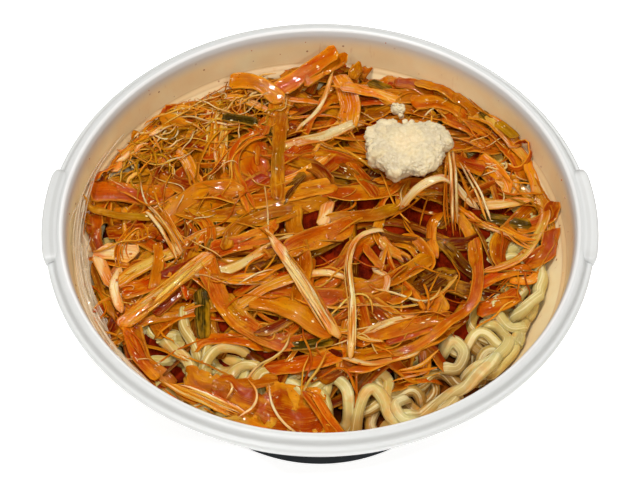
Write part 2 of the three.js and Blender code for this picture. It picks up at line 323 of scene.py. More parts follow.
def bowl_white():
    """Foamed white plastic with dressing stains, painted shade and painted highlights."""
    finish = Finish("bowl_white")
    spot = finish.place()
    x, y, z = finish.axes(spot)
    radius = (x * x + y * y) ** 0.5
    # Both lines run within the wall's thickness: one up the upper wall, one up the lower.
    outside = (radius - z * 0.13).between(79.2, 79.9)
    over_ledge = z.between(LEDGE_LEVEL - 1.0, LEDGE_LEVEL - 0.3)
    below = (radius - z * 0.643).between(48.4, 49.2) * (1 - over_ledge)
    inner = (1 - outside) * (1 - below)
    # low is the band below the rim where the inner wall turns tan: partly dressing stain, partly painted
    # shade and painted warm reflection of the food.
    low = 1 - z.between(66.5, 73.6)
    cloud = finish.speckle(spot, 0.05, 4, 0.6)
    # A darker tan band along the ledge.
    ledge = z.between(57.6, 58.4) * (1 - z.between(59.6, 60.2)) * inner
    top = z.between(BOWL_HEIGHT - 1.2, BOWL_HEIGHT - 0.6)
    # lip: a painted highlight line along the inner edge of the rim's top.
    lip = radius.between(88.2, 88.7) * (1 - radius.between(89.2, 89.8)) * top
    # A painted shade line on the step down from the rim's top to its outer lip.
    painted_groove_shade = radius.between(91.2, 92.0) * (1 - radius.between(92.6, 93.4)) * z.between(71.5, 72.2)
    drips = finish.speckle(finish.scaled(spot, 0.4, 0.4, 0.08), 1.0, 3, 0.6)
    flecks = finish.cells(spot, 0.16)
    body = finish.coated(
        srgb(210, 212, 212),
        # The tan inner wall: dressing stain together with painted shade and painted reflection of the food.
        (inner * low * 0.85, srgb(255, 238, 186)),
        (low * inner * cloud.between(0.2, 0.7) * 0.45, srgb(236, 190, 124)),
        (ledge * 0.9, srgb(214, 180, 130)),
        (lip * 0.7, srgb(240, 240, 240)),
        (painted_groove_shade * 0.5, srgb(186, 187, 186)),
        (drips.between(0.62, 0.75) * inner * low * 0.35, srgb(205, 140, 70)),
        ((1 - flecks.between(0.05, 0.09)) * inner * low * 0.8, srgb(150, 70, 20)),
    )
    finish.set(Base_Color=body, Roughness=cloud * 0.12 + 0.3, Specular_IOR_Level=0.45)
    finish.set(Subsurface_Weight=0.12, Subsurface_Scale=0.002, Subsurface_Radius=(1.0, 0.95, 0.9))
    fine = finish.speckle(spot, 1.4, 3, 0.6)
    finish.wear(fine * 0.25 + cloud, 0.12, 0.25)
    return finish.material


def bowl_dark():
    """The dark film on the outside and the underside."""
    finish = Finish("bowl_dark")
    spot = finish.place()
    film = finish.speckle(spot, 0.12, 3, 0.55)
    finish.set(Base_Color=finish.mixed(film, srgb(52, 55, 58), srgb(66, 70, 74)))
    finish.set(Roughness=film * 0.2 + 0.7, Specular_IOR_Level=0.02)
    finish.wear(finish.speckle(spot, 1.1, 3, 0.6), 0.15, 0.2)
    return finish.material


def noodle_skin():
    """Boiled wheat noodle: pale and a little clear; its dye darkens and warms it where it lies low."""
    finish = Finish("noodle_skin")
    spot = finish.place()
    grain = finish.grain()
    dye = finish.dye()
    blotch = finish.speckle(spot, 0.11, 4, 0.6)
    fine = finish.fibres(grain, 0.9, 0.25, 4, 0.6)
    rib = finish.fibres(grain, 1.1, 0.02, 2, 0.5)
    oil = finish.speckle(spot, 0.12, 3, 0.6)
    body = finish.coated(
        dye,
        (blotch.between(0.4, 0.7) * 0.6, finish.mixed(1.0, dye, (0.86, 0.75, 0.47), "MULTIPLY")),
        # Pale lengthwise lines: the noodle's ridges, with painted highlight lines along them.
        (rib.between(0.52, 0.62) * 0.45, srgb(248, 238, 190)),
        (oil.between(0.52, 0.7) * 0.45, srgb(214, 138, 30)),
    )
    finish.set(Base_Color=body, Roughness=fine * 0.2 + 0.3, Coat_Weight=oil.between(0.45, 0.6) * 0.25)
    finish.set(Coat_Roughness=0.06, Specular_IOR_Level=0.25)
    finish.set(Subsurface_Weight=0.3, Subsurface_Scale=0.003, Subsurface_Radius=(1.0, 0.7, 0.35))
    wrinkle = finish.speckle(spot, 0.6, 2, 0.5)
    finish.wear(rib * 0.8 + fine * 0.2 + blotch * 0.5 + wrinkle, 0.45, 0.6)
    return finish.material


def onion_skin(name, clear=0.25, wet=0.85, veins=1.0, ink=srgb(250, 190, 60), depth=(0.6, 0.42, 0.2),
               streaks=0.12, threads=0.2):
    """Dressed onion: smooth, a little clear, with fine pale fibres and painted glints, each shred in its
    own dye.
    """
    finish = Finish(name)
    spot = finish.place()
    grain = finish.grain()
    dye = finish.dye()
    rib = finish.fibres(grain, 0.75, 0.02, 2, 0.5)
    fine = finish.fibres(grain, 2.4, 0.05, 2, 0.5)
    patch = finish.fibres(grain, 0.2, 0.07, 3, 0.6)
    streak = finish.fibres(grain, 1.2, 0.03, 2, 0.5).between(0.54, 0.62)
    # glint and its patches below are painted highlights: pale spots laid into the colour.
    glint = finish.fibres(grain, 1.4, 0.45, 1, 0.5).between(0.62, 0.7)
    mottle = finish.speckle(spot, 0.25, 4, 0.6)
    painted_glint_patches = finish.speckle(spot, 0.16, 2, 0.5).between(0.56, 0.64)
    line = finish.maths("ABSOLUTE", rib - 0.5).between(0.036, 0.006)
    shown = mottle.between(0.38, 0.56) * veins
    deep = finish.mixed(1.0, dye, depth, "MULTIPLY")
    body = finish.coated(
        dye,
        (patch.between(0.5, 0.66) * 0.75, finish.paled(dye)),
        (patch.between(0.48, 0.34) * 0.6, deep),
        (mottle.between(0.56, 0.72) * 0.5, deep),
        (line * shown * 0.35, finish.mixed(0.6, dye, ink)),
        (fine.between(0.58, 0.7) * threads * veins, finish.paled(dye)),
        (streak * streaks, deep),
        (finish.cells(spot, 0.55).between(0.14, 0.07) * 0.7, srgb(112, 30, 2)),
        # Painted glints: a painted highlight in the colour, where the glint spots and their patches meet.
        (glint * painted_glint_patches * wet, srgb(255, 236, 184)),
    )
    oil = finish.speckle(spot, 0.35, 4, 0.6)
    finish.set(Base_Color=body, Roughness=oil.between(0.6, 0.42) * 0.15 + 0.1)
    # wet sets the real gloss of the coat and the beads, and how strong the painted glints are.
    finish.set(Coat_Weight=oil.between(0.5, 0.57) * wet * 0.5, Coat_Roughness=0.03)
    finish.set(Specular_IOR_Level=0.05, Specular_Tint=(1.0, 0.88, 0.6))
    finish.set(Subsurface_Weight=clear, Subsurface_Scale=0.0016, Subsurface_Radius=(1.0, 0.42, 0.08))
    wetness = finish.speckle(spot, 0.13, 3, 0.6)
    finish.beaded(wetness.between(0.54, 0.6) * 0.35 * wet, body, finish.speckle(spot, 1.3, 1, 0.5))
    bead = finish.speckle(spot, 2.3, 2, 0.5) * oil.between(0.46, 0.6)
    finish.wear(rib * 0.4 + line * 0.05 + fine * 0.05 + oil * 0.4 + bead * 0.4, 0.4, 0.6)
    return finish.material


def bed_shade(name, light, dark):
    """What lies under the loose food and shows only through the gaps; its dark colours are painted shade.
    """
    finish = Finish(name)
    spot = finish.place()
    lump = finish.speckle(spot, 0.16, 5, 0.65)
    streak = finish.speckle(finish.scaled(spot, 0.5, 0.12, 0.4), 1.0, 4, 0.6, 1.5)
    body = finish.coated(
        dark, (lump.between(0.35, 0.68), light), (streak.between(0.55, 0.75) * 0.5, light * 1.5)
    )
    finish.set(Base_Color=body, Roughness=streak * 0.3 + 0.45, Specular_IOR_Level=0.02)
    finish.wear(streak + lump, 0.8, 0.8)
    return finish.material


def garlic_pulp():
    """Grated garlic: chalky crumbs, creamy in the hollows."""
    finish = Finish("garlic_pulp")
    spot = finish.place()
    crumb = finish.speckle(spot, 0.8, 5, 0.65)
    fine = finish.speckle(spot, 3.0, 4, 0.7)
    broad = finish.speckle(spot, 0.12, 3, 0.5)
    body = finish.mixed(crumb.between(0.35, 0.65), srgb(228, 205, 160), srgb(238, 218, 180))
    body = finish.mixed(broad.between(0.55, 0.75) * 0.3, body, srgb(236, 204, 146))
    finish.set(Base_Color=body, Roughness=fine * 0.3 + 0.38, Specular_IOR_Level=0.4)
    finish.set(Subsurface_Weight=0.3, Subsurface_Scale=0.0025, Subsurface_Radius=(1.0, 0.85, 0.6))
    finish.wear(crumb + fine * 0.5, 0.6, 0.5)
    return finish.material


def clear_sliver():
    """Near-clear onion skin that clings to the wall."""
    finish = Finish("clear_sliver")
    rib = finish.fibres(finish.grain(), 2.4, 0.03, 3, 0.6)
    body = finish.mixed(rib.between(0.35, 0.65), srgb(236, 196, 138), srgb(255, 246, 226))
    finish.set(Base_Color=body, Roughness=rib * 0.15 + 0.12, Alpha=rib.between(0.3, 0.75) * 0.45 + 0.18)
    finish.set(Coat_Weight=0.6, Coat_Roughness=0.06)
    finish.wear(rib, 0.5, 0.2)
    return finish.material


def oil_bead():
    """Chilli oil in beads and smears."""
    finish = Finish("oil_bead")
    spot = finish.place()
    swirl = finish.speckle(spot, 0.3, 3, 0.6)
    finish.set(Base_Color=finish.mixed(swirl, srgb(160, 60, 4), srgb(220, 120, 16)))
    finish.set(Roughness=swirl * 0.1 + 0.06, Coat_Weight=0.8, Coat_Roughness=0.04)
    return finish.material


# ---- Meshes: closed skins made of rings ---------------------------------------------------------


MAP_MARGIN = 0.03


class Batch:
    """Closed skins gathered into one piece. Each skin is a row of rings with a tip at both ends.

    Every skin keeps its own rectangle in the map OFBake, and its fibre map runs in mm. run is how
    much longer than wide a usual skin is. The skins of a walled batch are kept off the bowl's wall.
    """

    def __init__(self, run=5.0, walled=False):
        self.run = run
        self.walled = walled
        self.points = []
        self.quads = []
        self.tris = []
        self.dyes = []
        self.square = {4: [], 3: []}
        self.fibre = {4: [], 3: []}
        self.owner = {4: [], 3: []}
        self.size = 0
        self.count = 0

    def add(self, rings, dye, tips=None):
        """rings is (rings, sides, 3) in mm; dye is one colour or one for each point of the rings."""
        rings = np.asarray(rings, float)
        if self.walled:
            rings = within_wall(rings)
        rows, sides = rings.shape[:2]
        if tips is None:
            tips = rings[0].mean(0), rings[-1].mean(0)
        points = np.concatenate([rings.reshape(-1, 3), np.asarray(tips, float)])
        dye = np.broadcast_to(dye, (rows, sides, 3)).reshape(-1, 3)
        dyes = np.concatenate([dye, dye[:1], dye[-1:]])
        side = np.arange(sides)
        after = (side + 1) % sides
        row = np.arange(rows - 1)[:, None] * sides
        quads = np.stack([row + side, row + after, row + sides + after, row + sides + side], -1)
        quads = quads.reshape(-1, 4)
        last = (rows - 1) * sides
        first_tip, last_tip = rows * sides, rows * sides + 1
        first_fan = np.stack([after, side, np.full(sides, first_tip)], -1)
        last_fan = np.stack([last + side, last + after, np.full(sides, last_tip)], -1)
        tris = np.concatenate([first_fan, last_fan])
        middle_ring = rings[rows // 2]
        round_mm = run_along(np.concatenate([middle_ring, middle_ring[:1]]))
        along_mm = run_along(rings.mean(1))
        if along_mm[-1] < 1:
            along_mm = run_along(rings[:, 0])
        margin = 1.0 / (rows + 1)
        u = round_mm / round_mm[-1]
        v = margin + (1 - 2 * margin) * np.linspace(0, 1, rows)
        self.square[4].append(self._corners(u, v, rows, sides))
        self.square[3].append(self._tip_corners(u, v, 0.0, 1.0))
        # Each skin starts elsewhere in the grain.
        shift = np.array([self.count * 7.31 % 97, self.count * 13.7 % 89])
        self.fibre[4].append(self._corners(round_mm, along_mm, rows, sides) + shift)
        self.fibre[3].append(self._tip_corners(round_mm, along_mm, -0.5, along_mm[-1] + 0.5) + shift)
        if self._volume(points, quads) < 0:
            quads, tris = quads[:, ::-1], tris[:, ::-1]
            for kept in (self.square[4], self.square[3], self.fibre[4], self.fibre[3]):
                kept[-1] = kept[-1][:, ::-1]
        self.points.append(points)
        self.dyes.append(dyes)
        self.quads.append(quads + self.size)
        self.tris.append(tris + self.size)
        self.owner[4].append(np.full(len(quads), self.count))
        self.owner[3].append(np.full(len(tris), self.count))
        self.size += len(points)
        self.count += 1

    @staticmethod
    def _corners(u, v, rows, sides):
        """The map's four corners for each quad."""
        left, right, low, high = u[:-1], u[1:], v[:-1, None], v[1:, None]
        shape = (rows - 1, sides)
        made = []
        for a, b in ((left, low), (right, low), (right, high), (left, high)):
            made.append(np.stack([np.broadcast_to(a, shape), np.broadcast_to(b, shape)], -1))
        return np.stack(made, -2).reshape(-1, 4, 2)

    @staticmethod
    def _tip_corners(u, v, start, end):
        """The map's three corners for each triangle at the two tips."""
        left, right = u[:-1], u[1:]
        middle = (left + right) / 2
        made = []
        for one, other, level, tip in ((right, left, v[0], start), (left, right, v[-1], end)):
            corners = (one, level), (other, level), (middle, tip)
            made.append(np.stack([np.stack([a, np.full_like(a, b)], -1) for a, b in corners], 1))
        return np.concatenate(made)

    @staticmethod
    def _volume(points, quads):
        """Six times the volume that the quads enclose, below 0 where they face inwards."""
        a, b, c, d = (points[quads[:, k]] for k in range(4))
        return float(np.einsum("ij,ij->i", a, np.cross(b, c) + np.cross(c, d)).sum())

    def piece(self, name, material):
        """The gathered skins as one object that rides on the bowl's body."""
        quads = np.concatenate(self.quads)
        tris = np.concatenate(self.tris)
        mesh = bpy.data.meshes.new(name)
        points = np.concatenate(self.points) * MM
        mesh.vertices.add(len(points))
        mesh.vertices.foreach_set("co", points.ravel())
        mesh.loops.add(quads.size + tris.size)
        mesh.loops.foreach_set("vertex_index", np.concatenate([quads.ravel(), tris.ravel()]))
        mesh.polygons.add(len(quads) + len(tris))
        starts = np.concatenate([np.arange(len(quads)) * 4, quads.size + np.arange(len(tris)) * 3])
        mesh.polygons.foreach_set("loop_start", starts)
        mesh.update(calc_edges=True)
        mesh.polygons.foreach_set("use_smooth", np.ones(len(quads) + len(tris), bool))
        columns = max(1, math.ceil(math.sqrt(self.count * self.run)))
        rows = max(1, math.ceil(self.count / columns))
        baked, fibre = [], []
        for corners in (4, 3):
            owner = np.concatenate(self.owner[corners])
            square = np.concatenate(self.square[corners]) * (1 - 2 * MAP_MARGIN) + MAP_MARGIN
            cell = np.stack([owner % columns, owner // columns], -1)[:, None, :]
            baked.append(((square + cell) / (columns, rows)).reshape(-1, 2))
            fibre.append(np.concatenate(self.fibre[corners]).reshape(-1, 2))
        for title, values in (("OFBake", baked), ("fibre", fibre)):
            layer = mesh.uv_layers.new(name=title)
            layer.data.foreach_set("uv", np.concatenate(values).ravel())
        dyes = np.concatenate(self.dyes)
        layer = mesh.color_attributes.new("dye", "FLOAT_COLOR", "POINT")
        layer.data.foreach_set("color", np.concatenate([dyes, np.ones((len(dyes), 1))], 1).ravel())
        mesh.materials.append(material)
        mesh.validate()
        thing = placed(name, mesh)
        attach(thing, "root")
        return thing


# ---- The bowl -----------------------------------------------------------------------------------


def wall_point(share, offset=0.0):
    """A point (radius, height) on the round wall below the ledge; offset moves it outwards."""
    span = LEDGE_RADIUS - FLOOR_RADIUS
    rise = LEDGE_LEVEL - FLOOR_LEVEL
    radius = FLOOR_RADIUS + span * share**WALL_ROUNDNESS
    along = np.array([span * WALL_ROUNDNESS * share ** (WALL_ROUNDNESS - 1), rise])
    along /= np.linalg.norm(along)
    return np.array([radius + along[1] * offset, FLOOR_LEVEL + rise * share - along[0] * offset])


def softened(outline, radius, steps=4):
    """The outline with each of its corners turned into a short round."""
    outline = np.asarray(outline, float)
    made = [outline[0]]
    for before, corner, after in zip(outline, outline[1:], outline[2:]):
        back, ahead = before - corner, after - corner
        reach_back = min(radius, 0.45 * np.linalg.norm(back))
        reach_ahead = min(radius, 0.45 * np.linalg.norm(ahead))
        start = corner + back / np.linalg.norm(back) * reach_back
        end = corner + ahead / np.linalg.norm(ahead) * reach_ahead
        for t in np.linspace(0, 1, steps):
            made.append((1 - t) ** 2 * start + 2 * t * (1 - t) * corner + t * t * end)
    return np.array([*made, outline[-1]])


def turned(batch, outline, colour):
    """A skin turned from an outline of (radius, height) that starts and ends on the axis."""
    angle = np.linspace(0, math.tau, BOWL_SECTORS, endpoint=False)
    rings = around(outline[1:-1, :1], angle, outline[1:-1, 1:])
    batch.add(rings, colour, tips=((0, 0, outline[0][1]), (0, 0, outline[-1][1])))


def rim_outline():
    """From the ledge up the inner wall, over the rim and down to the skirt's root."""
    lip = RIM_RADIUS - LIP_WIDTH
    return [
        (UPPER_RADIUS, UPPER_LEVEL),
        (UPPER_RADIUS + 1.2, RIM_SHOULDER - 1.9),
        (UPPER_RADIUS + 2.0, RIM_SHOULDER),
        (UPPER_RADIUS + 3.1, BOWL_HEIGHT),
        (lip - 1.6, BOWL_HEIGHT),
        (lip - 0.7, RIM_SHOULDER),
        (lip, LIP_LEVEL),
        (RIM_RADIUS - 0.5, LIP_LEVEL),
        (RIM_RADIUS, LIP_LEVEL - 0.6),
        (RIM_RADIUS, SKIRT_LEVEL),
        (SKIRT_ROOT_RADIUS, SKIRT_LEVEL),
    ]


def grip(batch, side):
    """One of the two flat grips on the rim. It is a little slimmer at its two ends."""
    angle = np.radians(np.linspace(-GRIP_HALF_ANGLE, GRIP_HALF_ANGLE, 28))
    if side < 0:
        angle = angle + math.pi
    low, high = SKIRT_LEVEL + 0.1, BOWL_HEIGHT - 0.02
    corners = [(92.0, low), (GRIP_RADIUS, low), (GRIP_RADIUS, high), (GRIP_ROOT_RADIUS, high)]
    corners += [(GRIP_ROOT_RADIUS, low + 1.1), (92.0, low)]
    section = softened(corners, 0.8)[:-1]
    rings = []
    for k, turn in enumerate(angle):
        from_end = min(k, len(angle) - 1 - k)
        shrink = (0.7, 0.25, 0.0)[min(from_end, 2)] / 3
        reach, level = (section + (section.mean(0) - section) * shrink).T
        rings.append(around(reach, turn, level))
    batch.add(rings, srgb(240, 240, 238))


def make_bowl():
    """The white body, from inside over the rim and down, and the dark film that lies in its outside."""
    inner = [wall_point(share) for share in WALL_SHARES]
    coated = WALL_SHARES[WALL_SHARES < COAT_END][::-1]
    bare = [wall_point(share, WALL) for share in (1.0, 0.92, COAT_END + 0.02)]
    under_film = [wall_point(share, WALL - SKIN) for share in coated]
    body = [(0, FLOOR_LEVEL), (46, FLOOR_LEVEL), *inner, *rim_outline()]
    body += [(UPPER_RADIUS + 1.8, UPPER_LEVEL), *bare, *under_film, (51.2, 3.0), (0, 2.8)]
    batch = Batch(1.0)
    turned(batch, softened(body, 0.8), srgb(240, 240, 238))
    grip(batch, 1)
    grip(batch, -1)
    bowl = batch.piece("bowl_body", bowl_white())
    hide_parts("bowl")
    film = [(0, 2.7), (51.1, 2.9), *under_film[::-1], wall_point(COAT_END, WALL - SKIN)]
    film += [wall_point(COAT_END, WALL), *(wall_point(share, WALL) for share in coated)]
    film += [(FOOT_RADIUS, 0.5), (FOOT_RADIUS - 0.5, 0), (FOOT_RADIUS - FOOT_WIDTH + 0.5, 0)]
    film += [(FOOT_RADIUS - FOOT_WIDTH, height) for height in (0.5, FOOT_RECESS)]
    batch = Batch(1.0)
    turned(batch, softened([*film, (0, FOOT_RECESS)], 0.5, 3), srgb(30, 32, 36))
    outside = batch.piece("bowl_dark_outside", bowl_dark())


# ---- The heap's levels and what lies on them ----------------------------------------------------


def heap_edge(angle):
    """How far the heap reaches at an angle; it stops short at the front."""
    turn = (angle - FRONT_ANGLE + math.pi) % math.tau - math.pi
    dip = FRONT_DIP * np.exp(-((turn / FRONT_SPREAD) ** 2))
    return HEAP_REACH - dip + 1.3 * np.sin(5 * angle + 0.6) + 0.9 * np.sin(9 * angle)


def heap_level(x, y):
    """The heap's own surface: a crown with soft lumps."""
    share = np.hypot(x, y) / heap_edge(np.arctan2(y, x))
    lumps = 1.3 * np.sin(x / 10 + 1.1) * np.cos(y / 9 - 0.4) + 0.8 * np.sin((x + y) / 6)
    return HEAP_EDGE + HEAP_CROWN * (1 - np.minimum(share, 1.1) ** HEAP_SWELL) + 0.8 * lumps


def noodle_level(x, y):
    """The level that the loose noodles are laid to."""
    share = np.hypot(x, y) / NOODLE_REACH
    return NOODLE_LEVEL + NOODLE_CROWN * (1 - share**2) + 0.7 * np.sin(x / 7.5 + 0.8) * np.cos(y / 6.5)


def wall_reach(level):
    """The inner wall's radius at a level."""
    low = FLOOR_RADIUS + (LEDGE_RADIUS - FLOOR_RADIUS) * np.clip(
        (level - FLOOR_LEVEL) / (LEDGE_LEVEL - FLOOR_LEVEL), 0, 1
    ) ** WALL_ROUNDNESS
    return np.where(level < UPPER_LEVEL, low, UPPER_RADIUS + (level - UPPER_LEVEL) * UPPER_LEAN)


def within_wall(rings):
    """Moves each ring towards the bowl's axis until all of it clears the wall."""
    rings = rings.copy()
    for _ in range(3):
        radius = np.hypot(rings[..., 0], rings[..., 1])
        over = np.maximum((radius - wall_reach(rings[..., 2]) + WALL_CLEARANCE).max(1), 0)
        middle = rings[..., :2].mean(1)
        out = middle / np.maximum(np.linalg.norm(middle, axis=1), 1e-6)[:, None]
        rings[..., :2] -= (out * over[:, None])[:, None]
    return rings


def core_level(x, y):
    """The top of the heap's core, which lies deeper under the middle than under the edge."""
    share = np.minimum(np.hypot(x, y) / heap_edge(np.arctan2(y, x)), 1)
    return heap_level(x, y) - HEAP_LOOSE + (HEAP_LOOSE - EDGE_LOOSE) * share**3


RELIEF_REACH = 97.0
RELIEF_CELL = 0.5


class Relief:
    """The levels of what already lies in the bowl, on a square grid seen from above."""

    def __init__(self):
        steps = np.arange(-RELIEF_REACH, RELIEF_REACH + RELIEF_CELL, RELIEF_CELL)
        self.x, self.y = np.meshgrid(steps, steps, indexing="ij")
        radius = np.hypot(self.x, self.y)
        angle = np.arctan2(self.y, self.x)
        self.z = noodle_level(self.x, self.y) - NOODLE_LOOSE
        heap = core_level(self.x, self.y)
        under = eased(heap_edge(angle) - radius, 0, 5)
        self.z = np.maximum(self.z, heap * under + self.z * (1 - under))
        climb = np.clip((radius - FLOOR_RADIUS) / (LEDGE_RADIUS - FLOOR_RADIUS), 0, 1)
        wall = FLOOR_LEVEL + (LEDGE_LEVEL - FLOOR_LEVEL) * climb ** (1 / WALL_ROUNDNESS)
        upper = UPPER_LEVEL + (radius - UPPER_RADIUS) * 11  # close to 1 / UPPER_LEAN
        wall = np.where(radius > UPPER_RADIUS - 0.1, upper, wall)
        self.z = np.maximum(self.z, np.minimum(wall, BOWL_HEIGHT))
        self.snug = np.maximum(self.z, heap_level(self.x, self.y))

    def cells(self, x, y):
        """The grid's column and row under each place."""
        last = self.z.shape[0] - 1
        return tuple(
            np.clip(np.rint((along + RELIEF_REACH) / RELIEF_CELL).astype(int), 0, last) for along in (x, y)
        )

    def level(self, x, y):
        """How high what lies there reaches."""
        return self.z[self.cells(x, y)]

    def support(self, plan, half):
        """What bears a band that follows the plan: between its mean and its highest level."""
        side = sideways(plan)
        found = []
        for shift in np.linspace(-half, half, max(2, int(2 * half / 0.8) + 1)):
            spot = plan + side * shift
            found.append(self.level(spot[:, 0], spot[:, 1]))
        return 0.45 * np.max(found, axis=0) + 0.55 * np.mean(found, axis=0)

    def settled(self, route, proud=0.0):
        """The route pressed down towards the heap's own surface, in the order that it was laid."""
        snug = self.snug[self.cells(route[:, 0], route[:, 1])] + proud
        over = np.maximum(route[:, 2] - snug, 0)
        pressed = route.copy()
        pressed[:, 2] += HEAP_GIVE * (1 - np.exp(-over / HEAP_GIVE)) - over
        return pressed

    def cover(self, route, half, top):
        """Raises the levels under a band that follows the route to its top side."""
        count = len(route)
        given = *route.T, np.broadcast_to(top, count), np.broadcast_to(half, count)
        fine = np.linspace(0, count - 1, count * 3)
        x, y, z, rise, width = (np.interp(fine, np.arange(count), values) for values in given)
        line = np.stack([x, y, z], -1)
        side = sideways(line[:, :2])
        for shift in np.linspace(-1, 1, max(3, int(np.max(half) * 5))):
            spot = line[:, :2] + side * (shift * width)[:, None]
            np.maximum.at(self.z, self.cells(spot[:, 0], spot[:, 1]), line[:, 2] + rise)


def sideways(plan):
    """The level direction across a plan, at each of its points."""
    along = np.gradient(plan[:, :2], axis=0)
    along /= np.maximum(np.linalg.norm(along, axis=1), 1e-6)[:, None]
    return np.stack([-along[:, 1], along[:, 0]], -1)


def through(*spots, step=SHRED_STEP):
    """A smooth plan through given spots, with its points a step apart."""
    spots = np.array(spots, float)
    if len(spots) == 2:
        spots = np.array([spots[0], spots.mean(0), spots[1]])
    ends = np.concatenate([[2 * spots[0] - spots[1]], spots, [2 * spots[-1] - spots[-2]]])
    made = []
    for a, b, c, d in zip(ends, ends[1:], ends[2:], ends[3:]):
        square, cube = 2 * a - 5 * b + 4 * c - d, 3 * b - a - 3 * c + d
        for t in np.linspace(0, 1, 16, endpoint=False):
            made.append(0.5 * (2 * b + (c - a) * t + square * t**2 + cube * t**3))
    made.append(spots[-1])
    return evenly(np.array(made), step)


def evenly(line, step):
    """The line with its points a step apart."""
    run = run_along(line)
    wanted = np.linspace(0, run[-1], max(4, int(run[-1] / step) + 1))
    return np.stack([np.interp(wanted, run, line[:, k]) for k in range(line.shape[1])], -1)


def wandering(middle, heading, length, bend, wiggle):
    """A plan of that length round its middle: bend is its whole turn, wiggle a slow sway."""
    count = max(5, int(length / SHRED_STEP))
    t = np.linspace(-0.5, 0.5, count)
    sway = wiggle * np.sin(math.tau * (t * 1.3 + rng.random()))
    turn = heading + bend * t + sway
    line = np.cumsum(towards(turn) * (length / (count - 1)), axis=0)
    return line - line[count // 2] + np.array(middle)


def kept_inside(plan, margin=1.0, reach=SHRED_LIMIT):
    """Pulls a plan back from the bowl's wall."""
    radius = np.hypot(plan[:, 0], plan[:, 1])
    return plan * np.minimum(1, (reach - margin) / np.maximum(radius, 1e-6))[:, None]


def rested(relief, plan, half, stiffness, sink=0.4):
    """A plan laid on what is already there: it spans hollows as far as it is stiff."""
    ground = relief.support(plan, half * 0.8) - sink
    level = ground.copy()
    for _ in range(stiffness):
        level[1:-1] = np.maximum(ground[1:-1], (level[:-2] + level[2:]) / 2)
    for _ in range(3):
        level[1:-1] = (level[:-2] + 2 * level[1:-1] + level[2:]) / 4
    return np.concatenate([plan, level[:, None]], 1)


def frames_along(route):
    """The directions along, across and up at each point of a route, up being near the vertical."""
    along = np.gradient(route, axis=0)
    along /= np.maximum(np.linalg.norm(along, axis=1), 1e-6)[:, None]
    across = np.cross(np.array([0, 0, 1.0]), along)
    across /= np.maximum(np.linalg.norm(across, axis=1), 1e-6)[:, None]
    return along, across, np.cross(along, across)


def ribbon_section(sides, width, curl, ribs):
    """A flat shred's section: across from -1 to 1, and its height in half thicknesses."""
    top = np.linspace(1, -1, sides // 2 + 1)
    low = np.linspace(-1, 1, sides // 2 + 1)[1:-1]
    full = np.sqrt(np.clip(1 - top**8, 0, 1))
    thin = np.sqrt(np.clip(1 - low**8, 0, 1))
    phase = rng.random(2) * math.tau
    ridge = np.cos(top * width * 1.3 + phase[0]) + 0.6 * np.cos(top * width * 2.4 + phase[1])
    across = np.concatenate([top, low])
    height = np.concatenate([full * (1 + 0.35 * ribs * ridge), -thin])
    return across, height, curl * across**2


def shred_rings(route, width, thick, roll=0.0, curl=0.0, ribs=0.3, sides=12, ends=(6, 6), twist=0.0):
    """The rings of a flat shred along a route, with how far across and along their points lie.

    ends are the lengths over which it narrows.
    """
    count = len(route)
    run = run_along(route)
    along, across, up = frames_along(route)
    gone = run, run[-1] - run
    first, last = (np.clip((d + 0.3) / max(end, 0.3), 0.06, 1) ** 0.8 for d, end in zip(gone, ends))
    narrow = first * last
    phase = rng.random(4) * math.tau
    ragged = 1 + 0.06 * np.sin(run / 5.1 + phase[0]) + 0.035 * np.sin(run / 1.9 + phase[1])
    half = np.broadcast_to(width, count) / 2 * narrow * ragged
    stray = width * (0.03 * np.sin(run / 4.3 + phase[2]) + 0.015 * np.sin(run / 1.6 + phase[3]))
    deep = np.full(count, thick / 2) * np.sqrt(narrow)
    turn = roll + twist * (run / max(run[-1], 1) - 0.5)
    u, h, bow = ribbon_section(sides, width, curl, ribs)
    side = half[:, None] * u + stray[:, None]
    rise = deep[:, None] * h + half[:, None] * bow
    cos, sin = np.cos(turn)[:, None], np.sin(turn)[:, None]
    sideward = side * cos - rise * sin
    upward = side * sin + rise * cos
    near = np.stack([np.exp(-gone[0] / 2.5), -np.exp(-gone[1] / 2.5)])
    slant = (rng.normal(0, 0.45, 2)[:, None] * near).sum(0)[:, None] * side
    rings = route[:, None] + across[:, None] * sideward[..., None] + up[:, None] * upward[..., None]
    rings = rings + along[:, None] * slant[..., None]
    uneven = rng.uniform(0.03, 0.075) * rng.normal(0, 1, rings.shape[:2]) * np.sqrt(narrow)[:, None]
    return rings + up[:, None] * uneven[..., None], u, run


# ---- Dyes of the shreds -------------------------------------------------------------------------

# Each kind's light and dark tone, before the dressing.
DYES = {
    "orange": (srgb(230, 124, 0), srgb(208, 88, 0)),
    "ochre": (srgb(228, 158, 6), srgb(212, 120, 0)),
    "red": (srgb(222, 92, 0), srgb(200, 62, 0)),
    "deep": (srgb(170, 58, 0), srgb(146, 36, 0)),
    "brown": (srgb(190, 120, 4), srgb(164, 86, 0)),
    "tan": (srgb(242, 206, 110), srgb(228, 158, 40)),
    "cream": (srgb(255, 244, 218), srgb(238, 206, 140)),
    "peach": (srgb(238, 162, 34), srgb(226, 122, 4)),
    "olive": (srgb(184, 136, 6), srgb(196, 116, 0)),
    "green": (srgb(66, 62, 10), srgb(98, 80, 12)),
    "lime": (srgb(198, 166, 20), srgb(192, 134, 4)),
    "wisp": (srgb(246, 184, 84), srgb(230, 130, 10)),
    "noodle": (srgb(244, 232, 168), srgb(230, 206, 124)),
}
# The colour of the painted highlight along each shred's edges.
PAINTED_EDGE_HIGHLIGHT = srgb(246, 166, 48)
# What the dressing leaves of a tone, and how far it stains a pale shred's ends.
DRESSING = np.array([0.63, 0.425, 0.09])
PALE_DRESSING = np.array([0.78, 0.757, 0.56])
